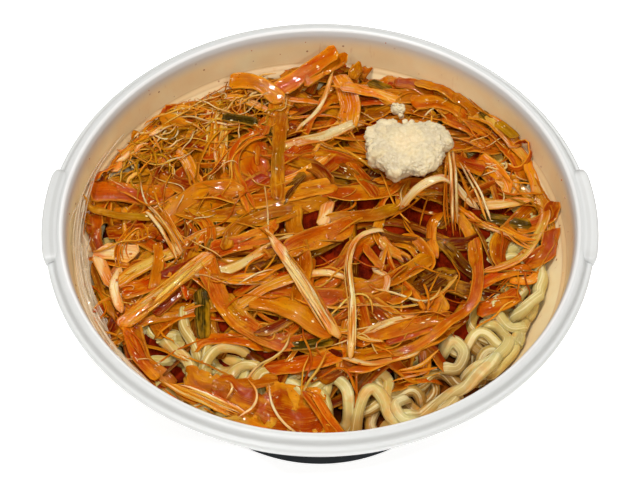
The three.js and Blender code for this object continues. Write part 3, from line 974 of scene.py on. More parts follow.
# How a noodle's colour darkens and warms where it lies low: dressing stain and painted shade together.
NOODLE_STAIN_AND_SHADE = np.array([0.62, 0.4, 0.2])
END_STAIN = 0.55
# How common each kind is among the strewn shreds: low in the heap, on it, and among the fine ones.
DEEP_KINDS = {"deep": 4, "red": 3, "orange": 3, "brown": 1, "tan": 0.5}
MID_KINDS = {"orange": 8, "ochre": 4, "red": 2, "tan": 2.0, "cream": 0.6, "deep": 1.5, "olive": 0.8,
             "peach": 1.2, "brown": 0.5, "green": 0.3}
THIN_KINDS = {"orange": 6, "ochre": 4, "tan": 3, "cream": 1, "red": 1.5, "olive": 0.6, "peach": 2}
PALE_KINDS = ("tan", "cream", "peach")
GREEN_KINDS = ("olive", "green", "lime")


def dyed(kind, run, across, edge, shade=1.0):
    """One colour for each point of a shred: it drifts along the run, with a painted highlight at the edges.
    """
    light, dark = DYES[kind]
    run = run[:, None]
    across = across[None, :]
    phase = rng.random(5) * math.tau
    drift = 0.5 + 0.45 * np.sin(run / rng.uniform(5, 14) + phase[0])
    drift = drift + 0.3 * np.sin(run / 4 + 2.2 * across + phase[1]) + rng.uniform(-0.4, 0.4)
    colour = dark + (light - dark) * np.clip(drift, 0, 1)[..., None]
    if kind in PALE_KINDS:
        near_end = np.exp(-np.minimum(run, run[-1] - run) / 6)
        patch = 1.6 * eased(np.sin(run / 5 + across + phase[2]), 0.45, 1)
        margin = eased(np.abs(across), 0.3, 0.9) * (0.6 if kind == "tan" else 0.25)
        stain = np.clip((near_end + patch) * END_STAIN + margin, 0, 0.85)[..., None]
        colour = colour + (DYES["orange"][0] - colour) * stain
    elif kind not in GREEN_KINDS:
        worn = eased(np.sin(run / 9 + 1.6 * across + phase[3]), 0.55, 1)[..., None]
        colour = colour + (DYES["peach"][0] - colour) * worn * 0.6
    colour = colour * (PALE_DRESSING if kind in PALE_KINDS else DRESSING) * rng.uniform(0.84, 1.1)
    # A painted highlight along the edges, as strong as edge says.
    rim = np.minimum(eased(np.abs(across), 0.78, 1) * edge * rng.uniform(0.8, 2.8), 0.9)[..., None]
    # shade scales the colour: painted shade below 1, painted light above 1.
    return np.clip((colour + (PAINTED_EDGE_HIGHLIGHT - colour) * rim) * shade, 0, 1)


class Pile:
    """The loose food: a relief, and a batch for each kind of thing that lies on it."""

    def __init__(self):
        self.relief = Relief()
        self.noodles, self.deep, self.orange, self.pale, self.green, self.front = (
            Batch(4.0, walled=True) for _ in range(6)
        )
        self.wisps, self.clear = Batch(10.0, walled=True), Batch(10.0, walled=True)

    def batch(self, kind):
        """The batch that a kind of shred belongs to."""
        if kind in PALE_KINDS:
            return self.pale
        if kind in GREEN_KINDS:
            return self.green
        return self.orange

    def shred(self, kind, width, plan, thick=1.0, roll=0.0, curl=0.1, ribs=0.3, stiffness=22,
              ends=(4.0, 4.0), twist=0.0, lift=0.0, raised=(0.0, 0.0), batch=None, edge=0.35, frays=0,
              fineness=0.55, proud=0.0, shade=1.0):
        """Lays one shred on the pile and returns its route.

        ends are the lengths over which it narrows; raised lifts its two ends, and lift all of it.
        frays is how many fibres leave it, and edge how strong the painted highlight along its edges is.
        """
        relief = self.relief
        half = width / 2
        route = rested(relief, plan, half * abs(math.cos(roll)), stiffness)
        route[:, 2] += thick / 2 + 0.3 * half * abs(math.sin(roll)) + 0.25 * half * max(0, -curl)
        run = np.linspace(0, 1, len(route))
        free = lift + raised[0] * (1 - run) ** 3 + raised[1] * run**3
        sides = int(np.clip(2 * round(width / fineness), 8, 26))
        shown = relief.settled(route, proud)
        shown[:, 2] += free
        ends = np.minimum(ends, 0.42 * len(plan))
        rings, across, length = shred_rings(shown, width, thick, roll, curl, ribs, sides, ends, twist)
        # shade scales its colour: painted shade below 1, painted light above 1.
        colour = dyed(kind, length, across, edge, shade=shade)
        (batch or self.batch(kind)).add(rings, colour)
        cover = max(0.5, half * abs(math.cos(roll)) * 0.85)
        relief.cover(route, cover, thick / 2 + 0.15 * half * abs(math.sin(roll)))
        for _ in range(frays):
            self.fray(kind, route, half)
        return route

    def lay(self, kind, width, spots, thick=0.8, ends=(1, 1), **more):
        """Lays one shred through given spots (x, y)."""
        self.shred(kind, width, through(*spots), thick, ends=ends, **more)

    def fray(self, kind, route, half):
        """A fibre that leaves one end of a shred."""
        line = route if rng.random() < 0.5 else route[::-1]
        back = rng.integers(4, max(5, min(14, len(line) - 1)))
        start = line[-back]
        ahead = line[-1, :2] - line[-back, :2]
        heading = math.atan2(ahead[1], ahead[0]) + rng.normal(0, 0.28)
        length = rng.uniform(10, 26)
        count = max(6, int(length / SHRED_STEP))
        turn = heading + rng.normal(0, 0.5) * np.linspace(0, 1, count)
        side = np.array([-math.sin(heading), math.cos(heading)]) * rng.uniform(-0.8, 0.8) * half
        plan = kept_inside(start[:2] + side + np.cumsum(towards(turn) * length / count, axis=0))
        width = rng.uniform(0.45, 0.9)
        self.wisp(plan, width, "wisp" if rng.random() < 0.5 else kind, raised=(0, rng.uniform(0, 2)))

    def wisp(self, plan, width, kind="wisp", lift=0.0, raised=(0.0, 0.0)):
        """One fine fibre."""
        route = rested(self.relief, plan, width, 8, 0.2)
        route[:, 2] += width / 2
        run = np.linspace(0, 1, len(route))
        shown = self.relief.settled(route)
        shown[:, 2] += lift + raised[0] * (1 - run) ** 2 + raised[1] * run**2
        rings, across, length = shred_rings(shown, width, width * 0.6, sides=6, ribs=0.0, ends=(4, 4))
        self.wisps.add(rings, dyed(kind, length, across, 0.2))
        self.relief.cover(route, width / 2, width * 0.15)

    def bundle(self, kind, width, spots, count, spread, lift=0.0):
        """A shred torn along its length: narrow ribbons and fibres side by side, which fan out."""
        plan = through(*spots)
        side = sideways(plan)
        for k in range(count):
            shift = (k / max(count - 1, 1) - 0.5) * width
            fan = 1 + spread * (np.linspace(0, 1, len(plan)) ** 2 - 0.3)
            wave = 0.4 * np.sin(np.linspace(0, rng.uniform(2, 7), len(plan)) + rng.random() * 6)
            line = kept_inside(plan + side * (shift * fan + wave + rng.normal(0, 0.25))[:, None])
            cut = rng.integers(0, 5), len(line) - rng.integers(0, 5)
            line = line[cut[0]:cut[1]]
            if k % 3 == 1:
                self.wisp(line, rng.uniform(0.4, 0.8), "wisp" if rng.random() < 0.5 else kind, lift)
            else:
                tone = rng.choice([kind, "orange", "peach"], p=[0.6, 0.25, 0.15])
                broad = rng.uniform(1.1, 2.2) * width / 6.0
                self.shred(str(tone), broad, line, 0.6, roll=rng.normal(0, 0.35), lift=lift,
                           stiffness=10, ends=(6, 6), edge=0.6)


def slackened(level):
    """Each inner level of a sheet moved to the mean of the four beside it."""
    made = level.copy()
    made[1:-1, 1:-1] = (level[:-2, 1:-1] + level[2:, 1:-1] + level[1:-1, :-2] + level[1:-1, 2:]) / 4
    return made


def drape(pile, spots, left, right, kind, lift, shade=1.0):
    """A wide, thin skin at the front that hangs over what lies under it, with a ragged outline."""
    plan = through(*spots, step=FRONT_FILM_STEP)
    columns = max(8, int((left + right) / FRONT_FILM_STEP))
    run = run_along(plan)
    ends = np.minimum(run, run[-1] - run)
    narrow = np.clip((ends + 0.5) / 4.0, 0.1, 1) ** 0.6
    phase = rng.random(6) * math.tau
    edges = []
    for side, reach in enumerate((left, right)):
        ragged = 1 + 0.16 * np.sin(run / 4.4 + phase[side]) + 0.1 * np.sin(run / 1.7 + phase[side + 2])
        edges.append(reach * narrow * ragged)
    across = np.linspace(0, 1, columns)
    offset = edges[0][:, None] * (1 - across) - edges[1][:, None] * across
    spot = plan[:, None] + sideways(plan)[:, None] * offset[..., None]
    ground = pile.relief.level(spot[..., 0], spot[..., 1])
    level = ground.copy()
    for _ in range(40):
        level = np.maximum(slackened(level), ground - 0.8)
    level = np.maximum(slackened(slackened(level)), ground - 0.4)
    crease = 0.25 * np.sin(run[:, None] / 2.3 + 3 * across + phase[4]) * np.sin(8 * across + phase[5])
    top = level + lift + crease
    skin = np.concatenate([spot, top[..., None]], 2)
    under = np.concatenate([spot, (top - FRONT_FILM_THICKNESS)[..., None]], 2)[:, ::-1]
    colour = dyed(kind, run, np.linspace(1, -1, columns), 0.2, shade=shade)
    pile.front.add(np.concatenate([skin, under], 1), np.concatenate([colour, colour[:, ::-1]], 1))
    np.maximum.at(pile.relief.z, pile.relief.cells(spot[..., 0], spot[..., 1]), top)


# ---- Noodles ------------------------------------------------------------------------------------


def noodle_plan(middle, heading, length, waves, sway):
    """A wavy noodle seen from above."""
    t = np.linspace(0, 1, int(length / NOODLE_STEP))
    turn = heading + rng.normal(0, 0.9) * (t - 0.5)
    turn = turn + 1.15 * sway * np.cos(math.tau * waves * t + rng.random() * 6)
    line = np.cumsum(towards(turn) * NOODLE_STEP, axis=0)
    return line - line.mean(0) + np.array(middle)


def lay_noodle(pile, plan, sink, dark=0.0, lowest=0.0, stain_and_painted_shade=(1.0, 1.0, 1.0)):
    """One round noodle that sags over what lies under it."""
    turn = np.linspace(0, math.tau, 12, endpoint=False)
    plan = kept_inside(plan, 0.0, NOODLE_LIMIT)
    thick = NOODLE_THICKNESS * rng.uniform(0.86, 1.04)
    route = rested(pile.relief, plan, thick * 0.4, 6, sink)
    count = len(route)
    ground = np.maximum(noodle_level(route[:, 0], route[:, 1]) - 4.0, lowest)
    proud = np.maximum(route[:, 2] - ground, 0)
    route[:, 2] += 5.0 * (1 - np.exp(-proud / 5.0)) - proud
    route[:, 2] += thick / 2 + 0.5 * np.sin(np.linspace(0, count / 5, count) + rng.random() * 6)
    _, across, up = frames_along(route)
    from_end = np.minimum(np.arange(count), count - 1 - np.arange(count))
    route[:, 2] -= NOODLE_DIVE * np.exp(-from_end / 2.4)
    taper = np.sqrt(np.clip(from_end / 1.6 + 0.25, 0, 1))
    swell = 1 + 0.06 * np.sin(np.arange(count) / 3.1 + rng.random() * 6)
    inner = wall_reach(route[:, 2] - thick / 2) - thick * 0.55
    route[:, :2] *= np.minimum(1, inner / np.maximum(np.hypot(route[:, 0], route[:, 1]), 1e-6))[:, None]
    half = thick / 2 * taper * swell
    square = (np.abs(np.cos(turn)) ** 3.2 + np.abs(np.sin(turn)) ** 3.2) ** (-1 / 3.2)
    twist = rng.uniform(0, math.tau) + rng.normal(0, 0.05) * np.arange(count)
    wide = half[:, None] * np.cos(turn + twist[:, None]) * square
    tall = half[:, None] * np.sin(turn + twist[:, None]) * square * 0.9
    rings = route[:, None] + across[:, None] * wide[..., None] + up[:, None] * tall[..., None]
    light, shade = DYES["noodle"]
    # dark and the stain-and-shade factors darken a whole noodle: painted shade, with a warm dressing stain.
    tone = (shade + (light - shade) * rng.random()) * 0.72 * (1 - dark) * np.array(stain_and_painted_shade)
    # The lower its surface lies, the darker and more orange it is painted: dressing stain and painted
    # shade.
    depth = noodle_level(route[:, 0], route[:, 1])[:, None] + 3.0 - rings[..., 2]
    stain_and_shade = (0.85 * eased(depth, 0.5, 6.0))[..., None]
    pile.noodles.add(rings, tone * (1 - stain_and_shade) + tone * NOODLE_STAIN_AND_SHADE * stain_and_shade)
    pile.relief.cover(route, half * 0.8, thick * 0.36)


def strew_noodles(pile, count, band, turn, sink, stain_and_painted_shade):
    """Wavy noodles strewn over a band of radii and angles."""
    for _ in range(count):
        spot = rng.uniform(*turn)
        radius = math.sqrt(rng.uniform(band[0] ** 2, band[1] ** 2))
        middle = place_at(radius, spot)
        heading = spot + math.pi / 2 + rng.normal(0, 0.9)
        length = rng.uniform(45, 80)
        plan = noodle_plan(middle, heading, length, length / rng.uniform(19, 28), rng.uniform(0.7, 1.2))
        lay_noodle(pile, plan, sink, stain_and_painted_shade=stain_and_painted_shade)


def top_noodles(pile):
    """The noodles that can be told apart: at the right and the front, then at the lower left."""
    for spots in (
        ((74, 2), (79, -6), (78, -16), (71, -25), (65, -27)),
        ((54, -30), (62, -32), (64, -40), (57, -47), (48, -50)),
        ((41, -42), (45, -39), (49, -42), (46, -47), (40, -47)),
        ((66, -18), (60, -24), (66, -32), (72, -30)),
        ((20, -70), (33, -65), (44, -57), (56, -50), (62, -42)),
        ((-3, -57), (1, -61), (2, -68), (-3, -72)),
        ((5, -53), (9, -60), (9, -67), (5, -70), (1, -66)),
        ((11, -73), (13, -64), (17, -59), (21, -62), (24, -69), (29, -72)),
        ((30, -58), (25, -64), (28, -70), (36, -67)),
        ((50, -59), (44, -62), (38, -68)),
    ):
        lay_noodle(pile, through(*spots, step=NOODLE_STEP), 0.3, lowest=50.0)
    # The noodles at the lower left lie in shade: they are painted darker and warmer.
    for spots in (
        ((-46, -26), (-46, -36), (-42, -44), (-40, -50)),
        ((-54, -38), (-48, -46), (-43, -52), (-42, -62)),
        ((-36, -38), (-38, -46), (-38, -54), (-36, -62)),
        ((-40, -54), (-35, -46), (-28, -45), (-22, -47)),
        ((-34, -60), (-28, -52), (-22, -51), (-18, -54)),
        ((-24, -60), (-20, -54), (-14, -52)),
    ):
        lay_noodle(pile, through(*spots, step=NOODLE_STEP), 0.6, 0.08, 54.0, (0.95, 0.8, 0.55))


def bed(name, finish, level, reach, base_radius, base_level):
    """A closed bed whose top follows a level, out to a reach that may vary with the angle."""
    rows, sectors = 60, 200
    angle = np.linspace(0, math.tau, sectors, endpoint=False)
    edge = reach(angle)
    rings = []
    for share in np.linspace(0.02, 1, rows):
        x, y = share * edge * np.cos(angle), share * edge * np.sin(angle)
        rings.append(np.stack([x, y, level(x, y)], -1))
    base = around(base_radius, angle, base_level)
    rings += [base, base * (0.1, 0.1, 1)]
    batch = Batch(1.0)
    tips = (0, 0, float(level(np.array(0.0), np.array(0.0)))), (0, 0, base_level)
    batch.add(rings, srgb(120, 60, 20), tips)
    return batch.piece(name, finish)


# ---- The shreds that lie on top, each put down one by one ---------------------------------------


# Places (x, y, radius) where the strewn shreds leave a view of what lies deeper.
WINDOWS = (
    (-30, -50, 8),
    (-45, -42, 6),
    (31, 0, 4.5),
    (44, 2, 5),
    (52, 3, 4),
    (13, 28, 4),
    (36, -22, 2),
    (55, -13, 3),
    (4, -8, 3),
    (-34, -2, 3),
    (-2, -57, 8),
    (50, -40, 6),
    (68, -20, 7),
    (62, -32, 7),
)


def fill_heap(pile, count, kinds, size, width, thick, spread=1.0, batch=None, stiffness=10, tilt=0.4,
              proud=-2.5, shade=1.0, turn=(0.0, math.tau), crowd=0.42):
    """Shreds strewn over the heap at random, out to its edge times spread and between two angles.

    size, width and thick are ranges in mm. proud is how far they settle above the heap's surface,
    and the lower crowd is, the more of them lie near the edge. shade scales their colour, below 1 as
    painted shade; those that lie by a window are painted darker still.
    """
    names = list(kinds)
    odds = np.array([kinds[k] for k in names], float)
    odds /= odds.sum()
    for _ in range(count):
        angle = rng.uniform(*turn)
        reach = float(heap_edge(angle)) * spread
        radius = reach * rng.random() ** crowd
        middle = place_at(radius, angle)
        kind = names[rng.choice(len(names), p=odds)]
        length = rng.uniform(*size)
        plan = wandering(middle, rng.normal(0.3, 0.8), length, rng.normal(0, 0.8), 0.2)
        edge = heap_edge(np.arctan2(plan[:, 1], plan[:, 0])) + 3
        whole = run_along(plan)[-1]
        plan = kept_inside(plan, 0.5, np.minimum(edge, SHRED_LIMIT + 1))
        if run_along(plan)[-1] < 0.85 * whole:
            continue
        # Shreds that lie by a window are painted darker: painted shade of the deep gaps.
        tone = shade
        if any(np.hypot(plan[:, 0] - x, plan[:, 1] - y).min() < r + width[0] / 2 for x, y, r in WINDOWS):
            if proud > -4:
                continue
            tone = shade * rng.uniform(0.35, 0.8)
        broad = rng.uniform(*width)
        pile.shred(
            kind,
            min(broad, 3.6) if kind == "cream" else broad,
            plan,
            rng.uniform(*thick),
            roll=rng.normal(0, tilt),
            curl=rng.normal(0.05, 0.18),
            stiffness=stiffness,
            ends=(rng.choice([0.5, 1.5, 4]), rng.choice([0.5, 1.5, 4])),
            twist=rng.normal(0, 0.6),
            raised=(max(0, rng.normal(0, 1.2)), max(0, rng.normal(0, 1.2))),
            frays=int(rng.random() < 0.16) * rng.integers(1, 4),
            batch=batch,
            fineness=0.75,
            proud=proud,
            shade=tone,
        )


def strew_fibres(pile, count, turn, crowd, kinds=("wisp", "tan", "cream", "orange")):
    """Fine fibres strewn over the heap between two angles, nearer its edge the lower crowd is."""
    for _ in range(count):
        angle = rng.uniform(*turn)
        radius = float(heap_edge(angle)) * rng.random() ** crowd
        middle = place_at(radius, angle)
        length = rng.uniform(8, 30)
        plan = kept_inside(wandering(middle, rng.normal(0.6, 0.9), length, rng.normal(0, 1.6), 0.4))
        kind = kinds[rng.integers(0, len(kinds))]
        pile.wisp(plan, rng.uniform(0.4, 1.0), kind, raised=(0, max(0, rng.normal(0.3, 1.8))))


def top_shreds(pile):
    """The shreds that make up the heap's face, from the lowest to the topmost."""
    lay = pile.lay
    # Right side
    lay("orange", 6.0, ((70, 8), (80, 11), (84, 16)), ends=(0.5, 0.5), curl=0.3)
    lay("orange", 6.5, ((72, -6), (80, -2), (84, 6)), ends=(0.5, 1), roll=0.3, curl=0.3, frays=2)
    lay("deep", 7.0, ((56, 40), (62, 32), (66, 20)))
    lay("peach", 6.5, ((58, 41), (64, 32), (68, 22)), ends=(1, 4), roll=0.3, edge=0.6)
    lay("orange", 2.6, ((67, 38), (71, 34), (76, 37), (76, 42), (71, 44), (67, 40)), 0.7, ends=(0.5, 0.5),
        roll=1.2, curl=0.0, edge=0.9, lift=2.0)
    lay("tan", 4.2, ((78, 25), (80, 12), (74, 0), (66, -8), (56, -12)), 0.9, ends=(4, 4), roll=0.4, frays=2,
        edge=0.6)
    lay("orange", 6.5, ((54, -27), (62, -24), (69, -20)), ends=(1, 0.5), frays=3)
    lay("peach", 4.0, ((66, -14), (73, -14), (77, -10)), ends=(0.5, 0.5), edge=0.6)
    lay("orange", 5.0, ((52, -19), (64, -12), (74, -9)))
    # Left side
    lay("deep", 8.0, ((-64, -37), (-60, -48), (-51, -57)), roll=0.3)
    lay("orange", 5.0, ((-66, -33), (-62, -45), (-54, -55)), ends=(1, 0.5), roll=-0.2, frays=2)
    lay("brown", 3.0, ((-80, -6), (-76, -19), (-70, -32)), ends=(4, 4))
    lay("deep", 8.0, ((-76, 8), (-66, 5), (-58, 2)), shade=1.2)
    lay("orange", 5.0, ((-72, 4), (-64, 1), (-56, -4)))
    lay("cream", 7.5, ((-79, -1), (-72, -3), (-64, -5)), ends=(2, 1), roll=0.1, curl=0.15, shade=1.2)
    lay("cream", 4.6, ((-78, -5), (-75, -12), (-71, -19)), 1.2, ends=(1, 4), shade=1.15, lift=0.6)
    lay("cream", 3.4, ((-69, -11), (-71, -20), (-68, -30)), 1.2, ends=(2, 2), shade=1.15, lift=0.6)
    lay("red", 9.0, ((-68, -22), (-60, -20), (-52, -17)), roll=-0.2, edge=0.2)
    lay("deep", 7.0, ((-58, -20), (-48, -16), (-38, -11)), ends=(1, 2), edge=0.15)
    # Front edge of the heap
    lay("orange", 4.6, ((-43, -46), (-38, -42), (-26, -43), (-19, -46)), 0.9, ends=(2, 3), frays=1)
    lay("orange", 6.5, ((-18, -53), (0, -50), (10, -47)), 0.9, ends=(0.6, 4))
    lay("green", 4.2, ((-11, -46), (-3, -45), (4, -43)), 1.0)
    lay("ochre", 6.0, ((9, -50), (26, -47), (43, -39)), 0.9, ends=(1, 6), roll=-0.2, edge=0.5)
    lay("red", 5.0, ((22, -44), (34, -39), (44, -34)), ends=(1, 4))
    lay("orange", 5.2, ((12, -45), (28, -39), (46, -32)), 0.9, ends=(1, 0.5), edge=0.6)
    lay("cream", 3.0, ((14, -42), (23, -37), (33, -33)), 0.9, ends=(4, 4), edge=0.7, frays=3)
    lay("ochre", 9.5, ((-24, -27), (-8, -33), (5, -41)), 0.9, ends=(1, 2), roll=-0.15, curl=-0.1, edge=0.3)
    lay("green", 5.4, ((-41, -23), (-40, -32), (-39, -42)), 1.0, ends=(0.5, 0.5), curl=-0.2)
    lay("orange", 7.0, ((-40, -8), (-37, -20), (-30, -33), (-21, -41), (-8, -47)), 0.9, ends=(1, 5),
        frays=2, edge=0.5)
    # Middle
    lay("tan", 5.2, ((-70, -18), (-55, -8), (-32, 3)), 1.0, ends=(1, 3), edge=0.5)
    lay("ochre", 3.8, ((-57, 0), (-56, -12), (-57, -23)), 0.9, ends=(0.5, 0.5))
    lay("tan", 5.4, ((-68, -35), (-54, -24), (-37, -9)), 1.0, ends=(1, 3), roll=0.15, frays=1, edge=0.5)
    pile.bundle("tan", 5.0, ((-68, -34), (-54, -24), (-38, -9)), 5, 0.1)
    lay("orange", 7.0, ((-38, -8), (-26, -4), (-16, 0)), ends=(2, 1), roll=0.2, edge=0.5)
    lay("tan", 4.2, ((-29, -31), (-18, -24), (-7, -20)), 0.9, ends=(3, 1), edge=0.6)
    lay("orange", 8.0, ((-12, -10), (-1, -4), (12, 3)), 0.9, ends=(2, 2), roll=0.2, edge=0.7, frays=2)
    lay("ochre", 3.8, ((26, -1), (33, 0), (38, -7), (38, -15)), 0.9, ends=(4, 4), roll=0.4, edge=0.6)
    lay("ochre", 2.4, ((25, -4), (31, -4), (35, -10)), ends=(4, 4), edge=0.6)
    lay("ochre", 6.0, ((8, -28), (20, -22), (30, -16), (39, -8)), 0.9, ends=(1, 3), curl=0.2, edge=0.6)
    lay("cream", 2.6, ((18, -14), (23, -19), (22, -26)))
    lay("orange", 3.4, ((15, -6), (22, -15)))
    lay("orange", 4.0, ((44, 13), (40, 8), (39, 0), (41, -8)), 0.9, ends=(4, 4), roll=0.3, edge=0.6)
    lay("cream", 3.4, ((-6, -20), (3, -17), (10, -18)), 0.9, ends=(0.6, 0.6))
    lay("orange", 5.4, ((-8, 17), (6, 19)), 0.9, ends=(0.6, 0.6), roll=0.2)
    lay("brown", 4.4, ((-33, -8), (-29, 3), (-18, 9), (-4, 9)), 1.0, ends=(1, 6), roll=0.3, curl=0.1)
    lay("olive", 5.0, ((0, 4), (14, 7), (30, 13)), 1.0, ends=(0.6, 6), roll=0.25, curl=0.1, edge=0.5)
    lay("ochre", 7.0, ((-28, 14), (-10, 17), (5, 22)), 0.9, ends=(1, 0.5), edge=0.5, frays=1)
    lay("tan", 4.2, ((-16, 23), (-7, 27), (3, 35)), 0.9, ends=(2, 3), edge=0.6)
    lay("orange", 4.6, ((11, 33), (15, 25), (20, 16)), 0.9, edge=0.6)
    # Back, behind the ridge
    lay("orange", 6.5, ((-16, 72), (-5, 78), (6, 83)), 0.9, ends=(1, 0.6), roll=0.3, lift=2.0,
        raised=(0, 9), shade=1.3)
    lay("ochre", 5.0, ((-6, 74), (2, 79), (10, 83)), 0.9, roll=0.2, lift=2.0, raised=(0, 6), shade=1.3)
    lay("ochre", 4.5, ((12, 76), (15, 83)), 0.9, ends=(0.5, 2), roll=0.4, lift=2.5)
    lay("ochre", 6.5, ((-34, 76), (-24, 74), (-14, 66)), 0.9, ends=(0.5, 2), roll=0.3, lift=3.0, edge=0.5,
        shade=1.25)
    lay("peach", 3.6, ((-38, 69), (-28, 68), (-18, 62)), ends=(4, 4), lift=1.0, edge=0.7)
    lay("brown", 7.5, ((16, 62), (30, 63), (44, 59)), ends=(2, 2), edge=0.6, frays=2)
    lay("green", 4.2, ((18, 75), (28, 74), (38, 68)), 1.0, ends=(1, 5), raised=(3, 0))
    lay("peach", 8.0, ((7, 79), (11, 66), (10, 48)), 1.0, ends=(2, 3), roll=0.15, curl=0.1, edge=0.6,
        frays=2)
    lay("cream", 1.8, ((-9, 50), (-1, 61), (5, 77)), ends=(4, 4), raised=(0, 3))
    lay("brown", 4.6, ((10, 45), (20, 40)), 0.9)
    lay("red", 7.0, ((26, 75), (40, 72), (54, 64)))
    lay("ochre", 7.5, ((22, 69), (36, 70), (50, 63)), lift=1.0, edge=0.4)
    lay("orange", 7.0, ((34, 66), (46, 66), (56, 58)), lift=1.5, edge=0.4)
    lay("tan", 5.0, ((8, 72), (20, 71), (30, 67)), lift=1.0, frays=2)
    lay("orange", 5.0, ((28, 77), (36, 75), (43, 70)), ends=(1, 2), roll=0.3, lift=1.5, frays=2, edge=0.6)
    lay("ochre", 5.5, ((36, 76), (46, 71), (53, 64)), ends=(2, 4), roll=-0.3, lift=1.5, frays=3, edge=0.6)
    lay("ochre", 4.5, ((50, 68), (57, 61), (61, 52)), 0.9, ends=(1, 3), lift=1.5, edge=0.5, frays=2)
    lay("red", 4.0, ((50, 66), (49, 56)), 0.9)
    lay("orange", 9.0, ((46, 60), (57, 54), (68, 45)), ends=(1, 6), roll=-0.2, frays=3, edge=0.5)
    lay("orange", 7.0, ((46, 44), (57, 46), (68, 44)), ends=(1, 6), frays=2, edge=0.6)
    lay("tan", 5.5, ((56, 62), (66, 54), (73, 43)), frays=3)
    lay("orange", 6.0, ((62, 52), (71, 43), (76, 32)), frays=2)
    lay("tan", 4.0, ((70, 46), (77, 34), (79, 22)), ends=(1, 2), frays=3, edge=0.6)
    lay("green", 4.8, ((60, 60), (66, 52)), 0.9, ends=(0.5, 0.5))
    lay("lime", 4.4, ((66, 54), (73, 46)), 0.9, ends=(0.5, 1))
    # Left and back left
    lay("ochre", 7.0, ((-60, 57), (-50, 52)), 0.9, ends=(0.5, 0.5), frays=2, lift=1.0)
    lay("deep", 7.0, ((-50, 46), (-40, 42)), 0.9, ends=(0.5, 0.5))
    lay("tan", 3.0, ((-74, 42), (-57, 38)), 1.0, ends=(4, 4), curl=0.5)
    lay("cream", 2.4, ((-76, 36), (-66, 42)), 1.0, ends=(4, 4), curl=0.5)
    lay("lime", 5.0, ((-72, 30), (-62, 32)), 0.9)
    for x, y, turn in ((-71, 38, 0.4), (-66, 43, 1.2), (-73, 33, 0.1), (-68, 30, 0.9), (-60, 50, 0.6)):
        spot, ahead = (x, y), np.array(place_at(3.4, turn))
        lay("cream", rng.uniform(1.8, 2.8), (np.subtract(spot, ahead), spot, np.add(spot, ahead[::-1])),
            1.1, ends=(2, 2), lift=1.2, shade=1.1)
    lay("lime", 4.2, ((-68, 35), (-62, 32)), 1.0, ends=(2, 2), lift=0.8, shade=1.2)
    lay("deep", 7.0, ((-58, 32), (-50, 24), (-44, 22)))
    lay("peach", 4.6, ((-58, 36), (-54, 42), (-49, 38), (-46, 30), (-42, 22)), 0.9, ends=(1, 4), roll=0.4,
        edge=0.9, frays=1)
    lay("orange", 9.8, ((-82, 23), (-69, 22), (-52, 21)), 0.9, ends=(0.8, 6), curl=-0.1, edge=0.2,
        shade=1.2)
    lay("green", 5.0, ((-37, 57), (-27, 54), (-16, 49)), 1.0, ends=(0.5, 0.5))
    lay("orange", 13.0, ((-27, 46), (-24, 36), (-22, 25)), ends=(3, 6), curl=-0.15, edge=0.9)
    lay("ochre", 8.5, ((-15, 69), (-16, 58), (-15, 48)), 0.9, ends=(3, 3), edge=0.4)
    lay("cream", 4.6, ((-15, 41), (2, 46), (17, 56)), 1.0, ends=(1, 3), edge=0.6)
    lay("orange", 2.4, ((-20, 50), (-29, 44), (-32, 32), (-25, 9)), 0.9, ends=(4, 4), edge=1.0, lift=0.6)
    lay("orange", 2.0, ((-19, 47), (-27, 42), (-30, 31), (-23, 11)), ends=(4, 4), edge=1.0, lift=0.8)
    lay("ochre", 8.0, ((-56, 6), (-47, 16), (-38, 21), (-26, 20)), 1.0, ends=(1, 6), roll=0.3, curl=-0.1,
        edge=0.3)
    lay("lime", 3.0, ((-84, 17), (-81, 13), (-76, 11.5), (-66, 11), (-58, 10)), 0.9, ends=(9, 3),
        raised=(3.5, 0), roll=0.2, lift=0.6)
    lay("olive", 5.0, ((-14, 62), (-15, 43), (-15, 14)), 1.1, ends=(4, 0.6), edge=0.7)


def top_bundles(pile):
    """Torn shreds that lie over the rest as bundles of fibres."""
    for kind, width, spots, count, spread in (
        ("tan", 6.0, ((-38, 68), (-38, 48), (-38, 28)), 7, 0.6),
        ("wisp", 3.0, ((-70, 8), (-59, 13), (-44, 20)), 4, 0.8),
        ("orange", 7.0, ((-46, 12), (-40, 2), (-42, -8)), 6, 0.5),
        ("orange", 8.0, ((46, 62), (56, 56), (67, 46)), 6, 0.9),
        ("wisp", 4.0, ((-62, -3), (-64, 6), (-70, -2), (-68, -12)), 5, 0.5),
        ("tan", 5.0, ((22, -55), (32, -52), (42, -47)), 6, 0.6),
        ("tan", 5.0, ((-52, -56), (-43, -61), (-34, -65)), 6, 0.7),
        ("wisp", 5.0, ((64, 10), (70, 4), (78, 2)), 5, 0.9),
        ("wisp", 6.0, ((-78, 32), (-66, 46), (-56, 58)), 7, 0.9),
        ("wisp", 5.0, ((-60, 62), (-48, 64), (-34, 68)), 6, 0.9),
    ):
        pile.bundle(kind, width, spots, count, spread)


